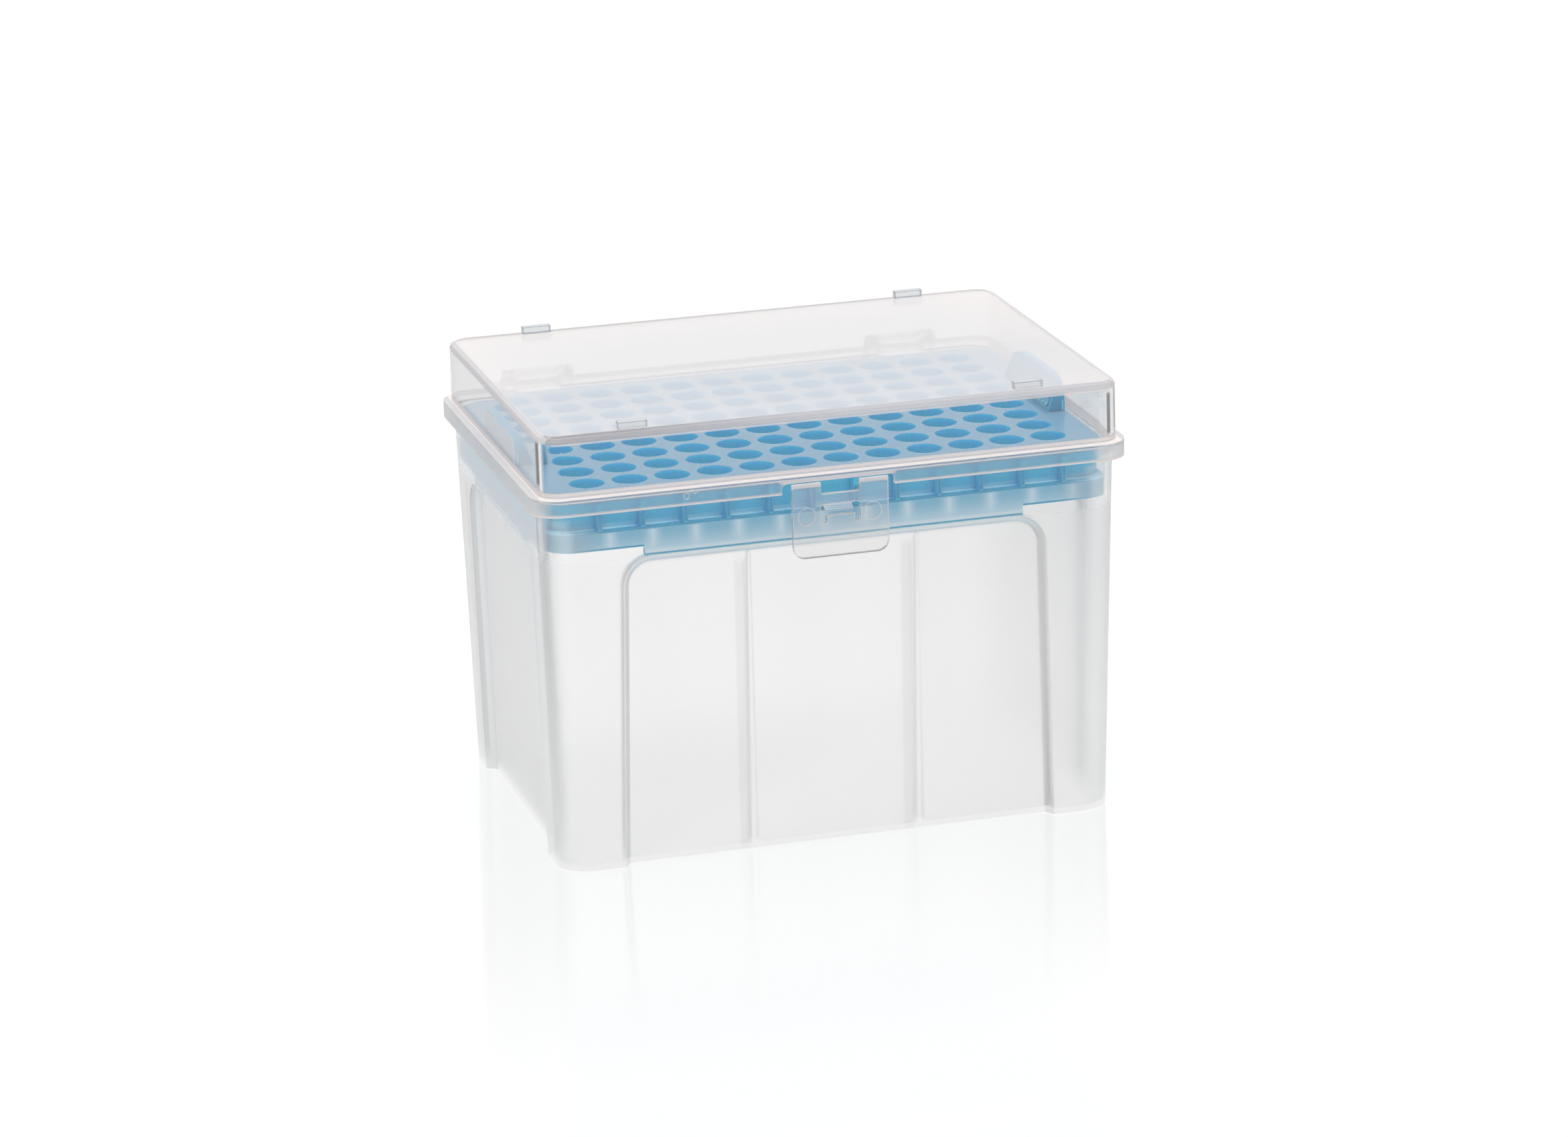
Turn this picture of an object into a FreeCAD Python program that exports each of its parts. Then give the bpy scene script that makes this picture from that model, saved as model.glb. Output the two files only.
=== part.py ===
import FreeCAD, Part
import math
import os
import re

import Sketcher

# Hinged 96-well pipette tip box, drawn closed.
# Origin: centre of the floor's underside. +X right (long side), -Y front (latch), +Z up.

DIMENSIONS = {
    # base box, half widths at the foot and at the rim
    "foot_half_x": 59.95,
    "foot_half_y": 42.0,
    "rim_half_x": 61.6,
    "rim_half_y": 43.6,
    "rim_height": 79.3,
    "base_corner": 7.0,
    "base_wall": 1.3,
    "floor_thick": 1.0,
    # panels sunk into the four sides, open at the foot
    "panel_depth": 2.2,
    "panel_slope_run": 1.4,
    "panel_front_half": 46.6,
    "panel_side_half": 28.9,
    "panel_narrowing": 1.6,
    "panel_top": 66.5,
    "panel_corner": 6.5,
    # stiffening ribs inside the front and back walls
    "wall_rib_offset": 18.0,
    "wall_rib_foot": 1.5,
    "wall_rib_head": 0.65,
    "wall_rib_top": 64.5,
    # catch wedge for the latch
    "catch_width": 6.1,
    "catch_top": 74.8,
    "catch_under": 72.4,
    "catch_lip_y": 45.0,
    # lid hinge
    "hinge_y": 46.9,
    "hinge_height": 76.9,
    "hinge_offset_x": 41.25,
    "pin_radius": 1.2,
    "knuckle_bore": 1.28,
    "knuckle_radius": 2.6,
    "knuckle_width": 9.4,
    "snap_slot": 1.9,
    # tip rack
    "plate_top": 79.94,
    "plate_thick": 1.5,
    "plate_half_x": 59.3,
    "plate_half_y": 38.8,
    "plate_corner": 5.0,
    "rack_wall": 1.1,
    "ledge_top": 72.5,
    "skirt_half_x": 59.85,
    "skirt_half_y": 41.6,
    "skirt_corner": 5.4,
    "skirt_end_bottom": 68.45,
    "skirt_tongue_x": 40.4,
    "skirt_tongue_y": 22.7,
    "gusset_thick": 0.8,
    "gusset_top": 78.7,
    # wells
    "well_pitch": 9.0,
    "well_radius": 3.75,
    "well_vertex": 3.745,
    "tube_half": 4.2,
    "tube_bottom": 67.0,
    # finger tabs of the rack
    "tab_half_y": 14.2,
    "tab_top": 86.0,
    "tab_foot_x": 55.4,
    "tab_head_x": 57.6,
    "tab_corner": 4.5,
    # lid
    "lid_top": 93.3,
    "lid_top_half_x": 61.55,
    "lid_top_half_y": 43.4,
    "lid_foot_half_x": 61.6,
    "lid_foot_half_y": 43.6,
    "lid_corner": 4.5,
    "lid_edge_round": 1.1,
    "lid_wall": 1.2,
    "lid_plate": 1.4,
    "lid_foot": 79.6,
    "flange_half_x": 63.4,
    "flange_half_y": 45.1,
    "flange_corner": 6.0,
    "flange_bottom": 77.0,
    "flange_top": 80.6,
    "flange_inner_x": 61.9,
    "flange_inner_y": 43.9,
    "flange_inner_corner": 5.6,
    "notch_half": 12.0,
    "notch_top": 79.25,
    "notch_corner": 1.2,
    "stack_tab_x": 42.0,
    "stack_tab_length": 6.1,
    "stack_tab_inner_y": 40.4,
    "stack_tab_outer_y": 42.0,
    "stack_tab_top": 94.8,
    # hinge lugs of the lid
    "lug_half": 7.45,
    "lug_gap_half": 5.0,
    "lug_top": 83.3,
    "lug_gap_top": 82.0,
    "lug_reach": 2.4,
    # latch flap
    "flap_half": 10.2,
    "flap_bottom": 63.4,
    "flap_thick": 1.1,
    "flap_back_y": 45.3,
    "flap_corner": 2.5,
    "bend_y": 45.85,
    "bend_height": 78.8,
    "bend_radius": 0.4,
    "bend_start": 77.9,
    "window_half": 4.15,
    "window_sill": 76.7,
    "slot_half": 4.25,
    "slot_top": 74.45,
    "slot_bottom": 70.5,
    "tongue_half": 3.0,
    "tongue_top": 72.1,
}

COLUMNS = 12
ROWS = 8
WELL_SIDES = 16  # the repeated wells are faceted; the two datum wells A1 and H12 are round

document = FreeCAD.newDocument("PipetteTipBox")
sheet = document.addObject("Spreadsheet::Sheet", "Dimensions")
for line, (alias, number) in enumerate(DIMENSIONS.items(), start=1):
    sheet.set(f"A{line}", alias)
    sheet.set(f"B{line}", str(number))
    sheet.setAlias(f"B{line}", alias)
document.recompute()


def linked(formula):
    """A formula in the sheet's aliases, as an expression other objects can use."""
    return re.sub(
        r"[a-z_]+",
        lambda name: f"Dimensions.{name.group()}" if name.group() in DIMENSIONS else name.group(),
        str(formula),
    )


def value(formula):
    """The number that a formula in the sheet's aliases gives now."""
    return float(sheet.evalExpression(linked(formula)))


def bind(item, path, formula):
    item.setExpression(path, linked(formula))


def origin_feature(body, role):
    return next(item for item in body.Origin.OriginFeatures if item.Role == role)


def new_body(name):
    body = document.addObject("PartDesign::Body", name)
    body.Label = name
    return body


def new_sketch(body, name, plane, offset="0", tilt=None):
    """A sketch on an origin plane, moved along its normal and, if asked, tilted about its own X."""
    sketch = body.newObject("Sketcher::SketchObject", name)
    sketch.AttachmentSupport = (origin_feature(body, plane), [""])
    sketch.MapMode = "FlatFace"
    bind(sketch, "AttachmentOffset.Base.z", offset)
    if tilt:
        sketch.AttachmentOffset = FreeCAD.Placement(
            FreeCAD.Vector(0, 0, value(offset)),
            FreeCAD.Rotation(FreeCAD.Vector(1, 0, 0), value(tilt)),
        )
        bind(sketch, "AttachmentOffset.Rotation.Angle", f"({tilt}) * 1 deg")
    return sketch


def fix_point(sketch, geometry, point, x, y, tag):
    """Holds a point at formulas x, y from the sketch's origin."""
    for kind, formula in (("DistanceX", x), ("DistanceY", y)):
        name = f"{tag}{kind[-1].lower()}"
        index = sketch.addConstraint(Sketcher.Constraint(kind, -1, 1, geometry, point, value(formula)))
        sketch.renameConstraint(index, name)
        bind(sketch, f"Constraints.{name}", formula)


def add_profile(sketch, corners, tag="p"):
    """Closed outline through corners (x, y[, radius]), given as formulas, anticlockwise."""
    corners = [(*corner, None)[:3] for corner in corners]
    points = [FreeCAD.Vector(value(x), value(y), 0) for x, y, _ in corners]
    count = len(corners)
    tangents = []
    for i, (_, _, radius) in enumerate(corners):
        before = (points[i - 1] - points[i]).normalize()
        after = (points[(i + 1) % count] - points[i]).normalize()
        if radius is None:
            tangents.append((points[i], points[i], None))
            continue
        half = before.getAngle(after) / 2
        reach = value(radius) / math.tan(half)
        middle = (before + after).normalize()
        centre = points[i] + middle * (value(radius) / math.sin(half))
        tangents.append((points[i] + before * reach, points[i] + after * reach, centre))
    lines = []
    for i in range(count):
        start, end = tangents[i][1], tangents[(i + 1) % count][0]
        lines.append(sketch.addGeometry(Part.LineSegment(start, end)))
    for i, (x, y, radius) in enumerate(corners):
        arriving, leaving = lines[i - 1], lines[i]
        if radius is None:
            sketch.addConstraint(Sketcher.Constraint("Coincident", arriving, 2, leaving, 1))
            fix_point(sketch, leaving, 1, x, y, f"{tag}{i}")
            continue
        start, end, centre = tangents[i]
        bulge = (points[i] - centre).normalize() * value(radius) + centre
        arc = sketch.addGeometry(Part.Arc(start, bulge, end))
        turn = (end - centre).cross(start - centre).z
        first, last = (2, 1) if turn > 0 else (1, 2)
        sketch.addConstraint(Sketcher.Constraint("Tangent", arriving, 2, arc, first))
        sketch.addConstraint(Sketcher.Constraint("Tangent", arc, last, leaving, 1))
        index = sketch.addConstraint(Sketcher.Constraint("Radius", arc, value(radius)))
        sketch.renameConstraint(index, f"{tag}{i}r")
        bind(sketch, f"Constraints.{tag}{i}r", radius)
        mark = sketch.addGeometry(Part.Point(points[i]), True)
        sketch.addConstraint(Sketcher.Constraint("PointOnObject", mark, 1, arriving))
        sketch.addConstraint(Sketcher.Constraint("PointOnObject", mark, 1, leaving))
        fix_point(sketch, mark, 1, x, y, f"{tag}{i}")


def rectangle(left, bottom, right, top, radius=None):
    ends = [(left, bottom), (right, bottom), (right, top), (left, top)]
    return [(x, y, radius) for x, y in ends]


def centred(half_x, half_y, radius=None):
    return rectangle(f"-({half_x})", f"-({half_y})", half_x, half_y, radius)


def add_circle(sketch, x, y, radius, tag="c"):
    centre = FreeCAD.Vector(value(x), value(y), 0)
    index = sketch.addGeometry(Part.Circle(centre, FreeCAD.Vector(0, 0, 1), value(radius)))
    fix_point(sketch, index, 3, x, y, tag)
    held = sketch.addConstraint(Sketcher.Constraint("Radius", index, value(radius)))
    sketch.renameConstraint(held, f"{tag}r")
    bind(sketch, f"Constraints.{tag}r", radius)


def extrude(body, kind, sketch, length, symmetric=False, reverse=False):
    """Pad or Pocket of a sketch; a Pocket has to make the body smaller."""
    document.recompute()
    before = body.Shape.Volume if body.Tip else 0.0
    feature = body.newObject(f"PartDesign::{kind}", sketch.Name.replace("Sketch", kind))
    feature.Profile = sketch
    feature.SideType = "Symmetric" if symmetric else "One side"
    feature.Reversed = reverse
    bind(feature, "Length", length)
    finish(body, feature, sketch, before, kind == "Pocket")
    return feature


def loft(body, kind, sketches):
    """Straight-sided loft through sketches, added or cut."""
    document.recompute()
    before = body.Shape.Volume if body.Tip else 0.0
    feature = body.newObject(f"PartDesign::{kind}Loft", sketches[0].Name.replace("Sketch", "Loft"))
    feature.Profile = sketches[0]
    feature.Sections = sketches[1:]
    feature.Ruled = True
    finish(body, feature, sketches[0], before, kind == "Subtractive")
    return feature


def repeat(body, kind, originals, **settings):
    """Mirror or pattern of features of one body."""
    document.recompute()
    before = body.Shape.Volume
    feature = body.newObject(f"PartDesign::{kind}", f"{originals[0].Name}{kind}")
    feature.Originals = originals
    for name, setting in settings.items():
        setattr(feature, name, setting)
    body.Tip = feature
    document.recompute()
    if abs(body.Shape.Volume - before) < 1e-3:
        raise ValueError(f"{feature.Name} changes nothing")
    return feature


def finish(body, feature, sketch, before, cuts):
    body.Tip = feature
    document.recompute()
    change = body.Shape.Volume - before
    if (cuts and change > -1e-3) or (not cuts and change < 1e-3):
        raise ValueError(f"{feature.Name} from {sketch.Name} changes the volume by {change:.4f}")


def mirror(body, originals, plane):
    return repeat(body, "Mirrored", originals, MirrorPlane=(origin_feature(body, plane), [""]))


TILT_X = "atan((rim_half_x - foot_half_x) / rim_height) / 1 deg"
TILT_Y = "atan((rim_half_y - foot_half_y) / rim_height) / 1 deg"


def side_panel(body, name, plane, foot, half, tilt):
    """One sunk panel with the box shape of the same wall behind it, and a flat ledge on top."""
    narrow = f"({half} - panel_narrowing)"
    inner = new_sketch(body, f"{name}LedgeSketch", plane, f"{foot} - panel_depth - base_wall", tilt)
    add_profile(
        inner,
        [
            (f"-{half}", "floor_thick / 2"),
            (half, "floor_thick / 2"),
            (narrow, "panel_top", "panel_corner"),
            (f"-{narrow}", "panel_top", "panel_corner"),
        ],
    )
    ledge = extrude(body, "Pad", inner, "panel_depth + base_wall * 0.4")
    wide = new_sketch(body, f"{name}Sketch", plane, f"{foot} + 0.4", tilt)
    deep = new_sketch(body, f"{name}DeepSketch", plane, f"{foot} - panel_depth", tilt)
    slope = "panel_slope_run / panel_depth"
    for sketch, shift in ((wide, f"(0.4 * {slope})"), (deep, "(0 - panel_slope_run)")):
        add_profile(
            sketch,
            [
                (f"-({half} + {shift})", "-2"),
                (f"{half} + {shift}", "-2"),
                (f"{narrow} + {shift}", f"panel_top + {shift}", f"panel_corner + {shift}"),
                (f"-({narrow} + {shift})", f"panel_top + {shift}", f"panel_corner + {shift}"),
            ],
        )
    recess = loft(body, "Subtractive", [wide, deep])
    return ledge, recess


def make_base():
    """Frosted base: drafted walls, four sunk panels, catch at the front, snap knuckles behind."""
    body = new_body("base_box")
    foot = new_sketch(body, "OuterSketch", "XY_Plane")
    add_profile(foot, centred("foot_half_x", "foot_half_y", "base_corner"))
    rim = new_sketch(body, "OuterRimSketch", "XY_Plane", "rim_height")
    add_profile(rim, centred("rim_half_x", "rim_half_y", "base_corner"))
    loft(body, "Additive", [foot, rim])

    inside_foot = new_sketch(body, "CavitySketch", "XY_Plane", "floor_thick")
    rise = "floor_thick / rim_height"
    add_profile(
        inside_foot,
        centred(
            f"foot_half_x - base_wall + (rim_half_x - foot_half_x) * {rise}",
            f"foot_half_y - base_wall + (rim_half_y - foot_half_y) * {rise}",
            "base_corner - base_wall",
        ),
    )
    inside_rim = new_sketch(body, "CavityRimSketch", "XY_Plane", "rim_height")
    add_profile(
        inside_rim,
        centred("rim_half_x - base_wall", "rim_half_y - base_wall", "base_corner - base_wall"),
    )
    loft(body, "Subtractive", [inside_foot, inside_rim])

    front = side_panel(body, "FrontPanel", "XZ_Plane", "foot_half_y", "panel_front_half", TILT_Y)
    mirror(body, [front[0]], "XZ_Plane")
    mirror(body, [front[1]], "XZ_Plane")
    side = side_panel(body, "SidePanel", "YZ_Plane", "foot_half_x", "panel_side_half", TILT_X)
    mirror(body, [side[0]], "YZ_Plane")
    mirror(body, [side[1]], "YZ_Plane")

    low = new_sketch(body, "WallRibSketch", "XY_Plane", "floor_thick / 2")
    high = new_sketch(body, "WallRibHeadSketch", "XY_Plane", "wall_rib_top")
    lean = "(rim_half_y - foot_half_y) * wall_rib_top / rim_height"
    for sketch, thick, shift, reach in (
        (low, "wall_rib_foot", "0", "3.0"),
        (high, "wall_rib_head", lean, "1.5"),
    ):
        face = f"(foot_half_y - panel_depth - base_wall + {shift})"
        add_profile(
            sketch,
            rectangle(
                f"wall_rib_offset - {thick} / 2",
                f"-({face} + base_wall / 2)",
                f"wall_rib_offset + {thick} / 2",
                f"{reach} - {face}",
            ),
        )
    rib = loft(body, "Additive", [low, high])
    mirror(body, [rib], "YZ_Plane")
    low_left = new_sketch(body, "BackRibSketch", "XY_Plane", "floor_thick / 2")
    high_left = new_sketch(body, "BackRibHeadSketch", "XY_Plane", "wall_rib_top")
    for sketch, thick, shift, reach in (
        (low_left, "wall_rib_foot", "0", "3.0"),
        (high_left, "wall_rib_head", lean, "1.5"),
    ):
        face = f"(foot_half_y - panel_depth - base_wall + {shift})"
        add_profile(
            sketch,
            rectangle(
                f"wall_rib_offset - {thick} / 2",
                f"{face} - {reach}",
                f"wall_rib_offset + {thick} / 2",
                f"{face} + base_wall / 2",
            ),
        )
    back_rib = loft(body, "Additive", [low_left, high_left])
    mirror(body, [back_rib], "YZ_Plane")

    wedge = new_sketch(body, "CatchSketch", "YZ_Plane")
    root = "-(rim_half_y - base_wall * 0.7)"
    add_profile(
        wedge,
        [
            (root, "catch_top"),
            ("-catch_lip_y", "catch_under + 0.5"),
            ("-catch_lip_y", "catch_under"),
            (root, "catch_under"),
        ],
    )
    extrude(body, "Pad", wedge, "catch_width", symmetric=True)

    arm = new_sketch(body, "ArmSketch", "YZ_Plane", "hinge_offset_x")
    add_profile(
        arm,
        [
            ("rim_half_y - base_wall * 0.6", "hinge_height - knuckle_radius * 1.7"),
            ("hinge_y", "hinge_height - knuckle_radius * 0.8"),
            ("hinge_y", "rim_height - 0.2"),
            ("rim_half_y - base_wall * 0.6", "rim_height - 0.2"),
        ],
    )
    bracket = extrude(body, "Pad", arm, "knuckle_width", symmetric=True)
    barrel = new_sketch(body, "KnuckleSketch", "YZ_Plane", "hinge_offset_x")
    add_circle(barrel, "hinge_y", "hinge_height", "knuckle_radius")
    knuckle = extrude(body, "Pad", barrel, "knuckle_width", symmetric=True)
    bore = new_sketch(body, "KnuckleBoreSketch", "YZ_Plane", "hinge_offset_x")
    add_circle(bore, "hinge_y", "hinge_height", "knuckle_bore")
    bored = extrude(body, "Pocket", bore, "knuckle_width + 1", symmetric=True)
    mouth = new_sketch(body, "KnuckleMouthSketch", "YZ_Plane", "hinge_offset_x")
    add_profile(
        mouth,
        rectangle(
            "hinge_y",
            "hinge_height - snap_slot / 2",
            "hinge_y + knuckle_radius * 1.5",
            "hinge_height + snap_slot / 2",
        ),
    )
    opened = extrude(body, "Pocket", mouth, "knuckle_width + 1", symmetric=True)
    mirror(body, [bracket, knuckle, bored, opened], "YZ_Plane")
    return body


def make_rack():
    """Blue tip rack: stepped skirt, 8 x 12 open tubes under a plate, two finger tabs."""
    body = new_body("tip_rack")
    skirt = new_sketch(body, "SkirtSketch", "XY_Plane", "panel_top")
    add_profile(skirt, centred("skirt_half_x", "skirt_half_y", "skirt_corner"))
    extrude(body, "Pad", skirt, "ledge_top - panel_top")
    hollow = new_sketch(body, "SkirtHollowSketch", "XY_Plane", "panel_top")
    add_profile(
        hollow,
        centred("skirt_half_x - rack_wall", "skirt_half_y - rack_wall", "skirt_corner - rack_wall"),
    )
    extrude(body, "Pocket", hollow, "ledge_top - rack_wall - panel_top", reverse=True)

    end = new_sketch(body, "EndStepSketch", "XY_Plane", "panel_top")
    add_profile(
        end,
        rectangle("skirt_tongue_x", "skirt_tongue_y", "skirt_half_x + 1", "skirt_half_y + 1"),
    )
    step = extrude(body, "Pocket", end, "skirt_end_bottom - panel_top", reverse=True)
    right = mirror(body, [step], "YZ_Plane")
    left = new_sketch(body, "FrontStepSketch", "XY_Plane", "panel_top")
    add_profile(
        left,
        rectangle("skirt_tongue_x", "-(skirt_half_y + 1)", "skirt_half_x + 1", "-skirt_tongue_y"),
    )
    front_step = extrude(body, "Pocket", left, "skirt_end_bottom - panel_top", reverse=True)
    mirror(body, [front_step], "YZ_Plane")

    top = new_sketch(body, "PlateSketch", "XY_Plane", "ledge_top - rack_wall")
    add_profile(top, centred("plate_half_x", "plate_half_y", "plate_corner"))
    extrude(body, "Pad", top, "plate_top - ledge_top + rack_wall")
    inside = new_sketch(body, "PlateHollowSketch", "XY_Plane", "ledge_top - rack_wall")
    add_profile(
        inside,
        centred("plate_half_x - rack_wall", "plate_half_y - rack_wall", "plate_corner - rack_wall"),
    )
    extrude(
        body, "Pocket", inside, "plate_top - plate_thick - ledge_top + rack_wall", reverse=True
    )

    gusset = new_sketch(body, "GussetSketch", "YZ_Plane", "well_pitch * 5.5")
    add_profile(
        gusset,
        [
            ("-skirt_half_y", "ledge_top - rack_wall / 2"),
            ("-(plate_half_y - rack_wall / 2)", "ledge_top - rack_wall / 2"),
            ("-(plate_half_y - rack_wall / 2)", "gusset_top"),
            ("-skirt_half_y", "gusset_top"),
        ],
    )
    fin = extrude(body, "Pad", gusset, "gusset_thick", symmetric=True)
    fins = repeat(
        body,
        "LinearPattern",
        [fin],
        Direction=(origin_feature(body, "X_Axis"), [""]),
        Reversed=True,
        Occurrences=COLUMNS,
        Length=value("well_pitch") * (COLUMNS - 1),
    )
    bind(fins, "Length", f"well_pitch * {COLUMNS - 1}")
    back_gusset = new_sketch(body, "BackGussetSketch", "YZ_Plane", "well_pitch * 5.5")
    add_profile(
        back_gusset,
        [
            ("plate_half_y - rack_wall / 2", "ledge_top - rack_wall / 2"),
            ("skirt_half_y", "ledge_top - rack_wall / 2"),
            ("skirt_half_y", "gusset_top"),
            ("plate_half_y - rack_wall / 2", "gusset_top"),
        ],
    )
    back_fin = extrude(body, "Pad", back_gusset, "gusset_thick", symmetric=True)
    back_fins = repeat(
        body,
        "LinearPattern",
        [back_fin],
        Direction=(origin_feature(body, "X_Axis"), [""]),
        Reversed=True,
        Occurrences=COLUMNS,
        Length=value("well_pitch") * (COLUMNS - 1),
    )
    bind(back_fins, "Length", f"well_pitch * {COLUMNS - 1}")

    tab = new_sketch(body, "TabSketch", "YZ_Plane", "tab_foot_x")
    add_profile(
        tab,
        [
            ("-tab_half_y", "plate_top - plate_thick / 2"),
            ("tab_half_y", "plate_top - plate_thick / 2"),
            ("tab_half_y", "tab_top", "tab_corner"),
            ("-tab_half_y", "tab_top", "tab_corner"),
        ],
    )
    grip = extrude(body, "Pad", tab, "plate_half_x - tab_foot_x")
    face = new_sketch(body, "TabFaceSketch", "XZ_Plane")
    add_profile(
        face,
        [
            ("tab_foot_x - 1", "plate_top"),
            ("tab_foot_x", "plate_top"),
            ("tab_head_x", "tab_top"),
            ("tab_head_x", "tab_top + 1"),
            ("tab_foot_x - 1", "tab_top + 1"),
        ],
    )
    leaning = extrude(body, "Pocket", face, "tab_half_y * 2 + 2", symmetric=True)
    mirror(body, [grip, leaning], "YZ_Plane")

    tube = new_sketch(body, "TubeSketch", "XY_Plane", "tube_bottom")
    corner_x, corner_y = "well_pitch * 5.5", "well_pitch * 3.5"
    add_profile(
        tube,
        rectangle(
            f"{corner_x} - tube_half",
            f"{corner_y} - tube_half",
            f"{corner_x} + tube_half",
            f"{corner_y} + tube_half",
        ),
    )
    sleeve = extrude(body, "Pad", tube, "plate_top - plate_thick / 2 - tube_bottom")
    sleeves = grid(body, sleeve)
    well = new_sketch(body, "WellSketch", "XY_Plane", "tube_bottom - 1")
    add_profile(
        well,
        [
            (
                f"{corner_x} + well_vertex * cos({360 * side / WELL_SIDES} deg)",
                f"{corner_y} + well_vertex * sin({360 * side / WELL_SIDES} deg)",
            )
            for side in range(WELL_SIDES)
        ],
    )
    hole = extrude(body, "Pocket", well, "plate_top - tube_bottom + 2", reverse=True)
    grid(body, hole)
    datum = new_sketch(body, "DatumWellSketch", "XY_Plane", "tube_bottom - 1")
    add_circle(datum, f"-({corner_x})", corner_y, "well_radius", "a")
    add_circle(datum, corner_x, f"-({corner_y})", "well_radius", "b")
    extrude(body, "Pocket", datum, "plate_top - tube_bottom + 2", reverse=True)
    return body


def grid(body, feature):
    """Repeats the corner feature over the 8 x 12 places."""
    pattern = repeat(
        body,
        "LinearPattern",
        [feature],
        Direction=(origin_feature(body, "X_Axis"), [""]),
        Reversed=True,
        Occurrences=COLUMNS,
        Length=value("well_pitch") * (COLUMNS - 1),
        Direction2=(origin_feature(body, "Y_Axis"), [""]),
        Reversed2=True,
        Occurrences2=ROWS,
        Length2=value("well_pitch") * (ROWS - 1),
    )
    bind(pattern, "Length", f"well_pitch * {COLUMNS - 1}")
    bind(pattern, "Length2", f"well_pitch * {ROWS - 1}")
    return pattern


def make_lid():
    """Clear lid: drafted cover on a wide flange, hinge lugs with pins, stacking tabs."""
    body = new_body("lid")
    flange = new_sketch(body, "FlangeSketch", "XY_Plane", "flange_bottom")
    add_profile(flange, centred("flange_half_x", "flange_half_y", "flange_corner"))
    extrude(body, "Pad", flange, "flange_top - flange_bottom")
    low = new_sketch(body, "CoverSketch", "XY_Plane", "lid_foot")
    add_profile(low, centred("lid_foot_half_x", "lid_foot_half_y", "lid_corner"))
    rings = [low]
    for name, rise in (("Shoulder", "0"), ("Bevel", "sin(45 deg)"), ("Top", "1")):
        inset = f"lid_edge_round * (1 - sqrt(1 - {rise} * {rise}))"
        height = f"lid_top - lid_edge_round * (1 - {rise})"
        ring = new_sketch(body, f"Cover{name}Sketch", "XY_Plane", height)
        add_profile(
            ring,
            centred(f"lid_top_half_x - {inset}", f"lid_top_half_y - {inset}", f"lid_corner - {inset}"),
        )
        rings.append(ring)
    loft(body, "Additive", rings)

    under = new_sketch(body, "FlangeHollowSketch", "XY_Plane", "flange_bottom")
    add_profile(under, centred("flange_inner_x", "flange_inner_y", "flange_inner_corner"))
    extrude(body, "Pocket", under, "lid_foot - flange_bottom", reverse=True)
    inner_low = new_sketch(body, "RoomSketch", "XY_Plane", "lid_foot")
    inner_high = new_sketch(body, "RoomTopSketch", "XY_Plane", "lid_top - lid_plate")
    for sketch, stem in ((inner_low, "lid_foot"), (inner_high, "lid_top")):
        add_profile(
            sketch,
            centred(
                f"{stem}_half_x - lid_wall", f"{stem}_half_y - lid_wall", "lid_corner - lid_wall"
            ),
        )
    loft(body, "Subtractive", [inner_low, inner_high])

    notch = new_sketch(body, "NotchSketch", "XZ_Plane", "flange_inner_y - 0.2")
    add_profile(
        notch,
        [
            ("-notch_half", "flange_bottom - 1"),
            ("notch_half", "flange_bottom - 1"),
            ("notch_half", "notch_top", "notch_corner"),
            ("-notch_half", "notch_top", "notch_corner"),
        ],
    )
    extrude(body, "Pocket", notch, "flange_half_y - flange_inner_y + 1", reverse=True)

    stack = new_sketch(body, "StackTabSketch", "XY_Plane", "lid_top - 0.5")
    add_profile(
        stack,
        rectangle(
            "stack_tab_x - stack_tab_length / 2",
            "stack_tab_inner_y",
            "stack_tab_x + stack_tab_length / 2",
            "stack_tab_outer_y",
        ),
    )
    back_tab = extrude(body, "Pad", stack, "stack_tab_top - lid_top + 0.5")
    mirror(body, [back_tab], "YZ_Plane")
    front_stack = new_sketch(body, "FrontStackTabSketch", "XY_Plane", "lid_top - 0.5")
    add_profile(
        front_stack,
        rectangle(
            "stack_tab_x - stack_tab_length / 2",
            "-stack_tab_outer_y",
            "stack_tab_x + stack_tab_length / 2",
            "-stack_tab_inner_y",
        ),
    )
    front_tab = extrude(body, "Pad", front_stack, "stack_tab_top - lid_top + 0.5")
    mirror(body, [front_tab], "YZ_Plane")

    lug = new_sketch(body, "LugSketch", "YZ_Plane", "hinge_offset_x")
    add_profile(
        lug,
        [
            ("lid_foot_half_y - lid_wall * 0.5", "lid_foot + 0.3"),
            ("hinge_y - lug_reach", "lid_foot + 0.3"),
            ("hinge_y - lug_reach", "hinge_height"),
            ("hinge_y + lug_reach", "hinge_height"),
            ("hinge_y + lug_reach", "hinge_height + knuckle_radius * 1.2", "1.5"),
            ("hinge_y - 0.4", "lug_top", "1.5"),
            ("lid_foot_half_y - lid_wall * 0.5", "lug_top"),
        ],
    )
    block = extrude(body, "Pad", lug, "lug_half * 2", symmetric=True)
    cheek = new_sketch(body, "CheekSketch", "YZ_Plane", "hinge_offset_x")
    add_circle(cheek, "hinge_y", "hinge_height", "knuckle_radius")
    rounded = extrude(body, "Pad", cheek, "lug_half * 2", symmetric=True)
    gap = new_sketch(body, "LugGapSketch", "YZ_Plane", "hinge_offset_x")
    add_profile(
        gap,
        rectangle(
            "lid_foot_half_y",
            "hinge_height - knuckle_radius * 2",
            "hinge_y + knuckle_radius * 2",
            "lug_gap_top",
        ),
    )
    opened = extrude(body, "Pocket", gap, "lug_gap_half * 2", symmetric=True)
    pin = new_sketch(body, "PinSketch", "YZ_Plane", "hinge_offset_x")
    add_circle(pin, "hinge_y", "hinge_height", "pin_radius")
    bar = extrude(body, "Pad", pin, "lug_gap_half * 2 + 1", symmetric=True)
    mirror(body, [block, rounded, opened, bar], "YZ_Plane")
    return body


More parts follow.
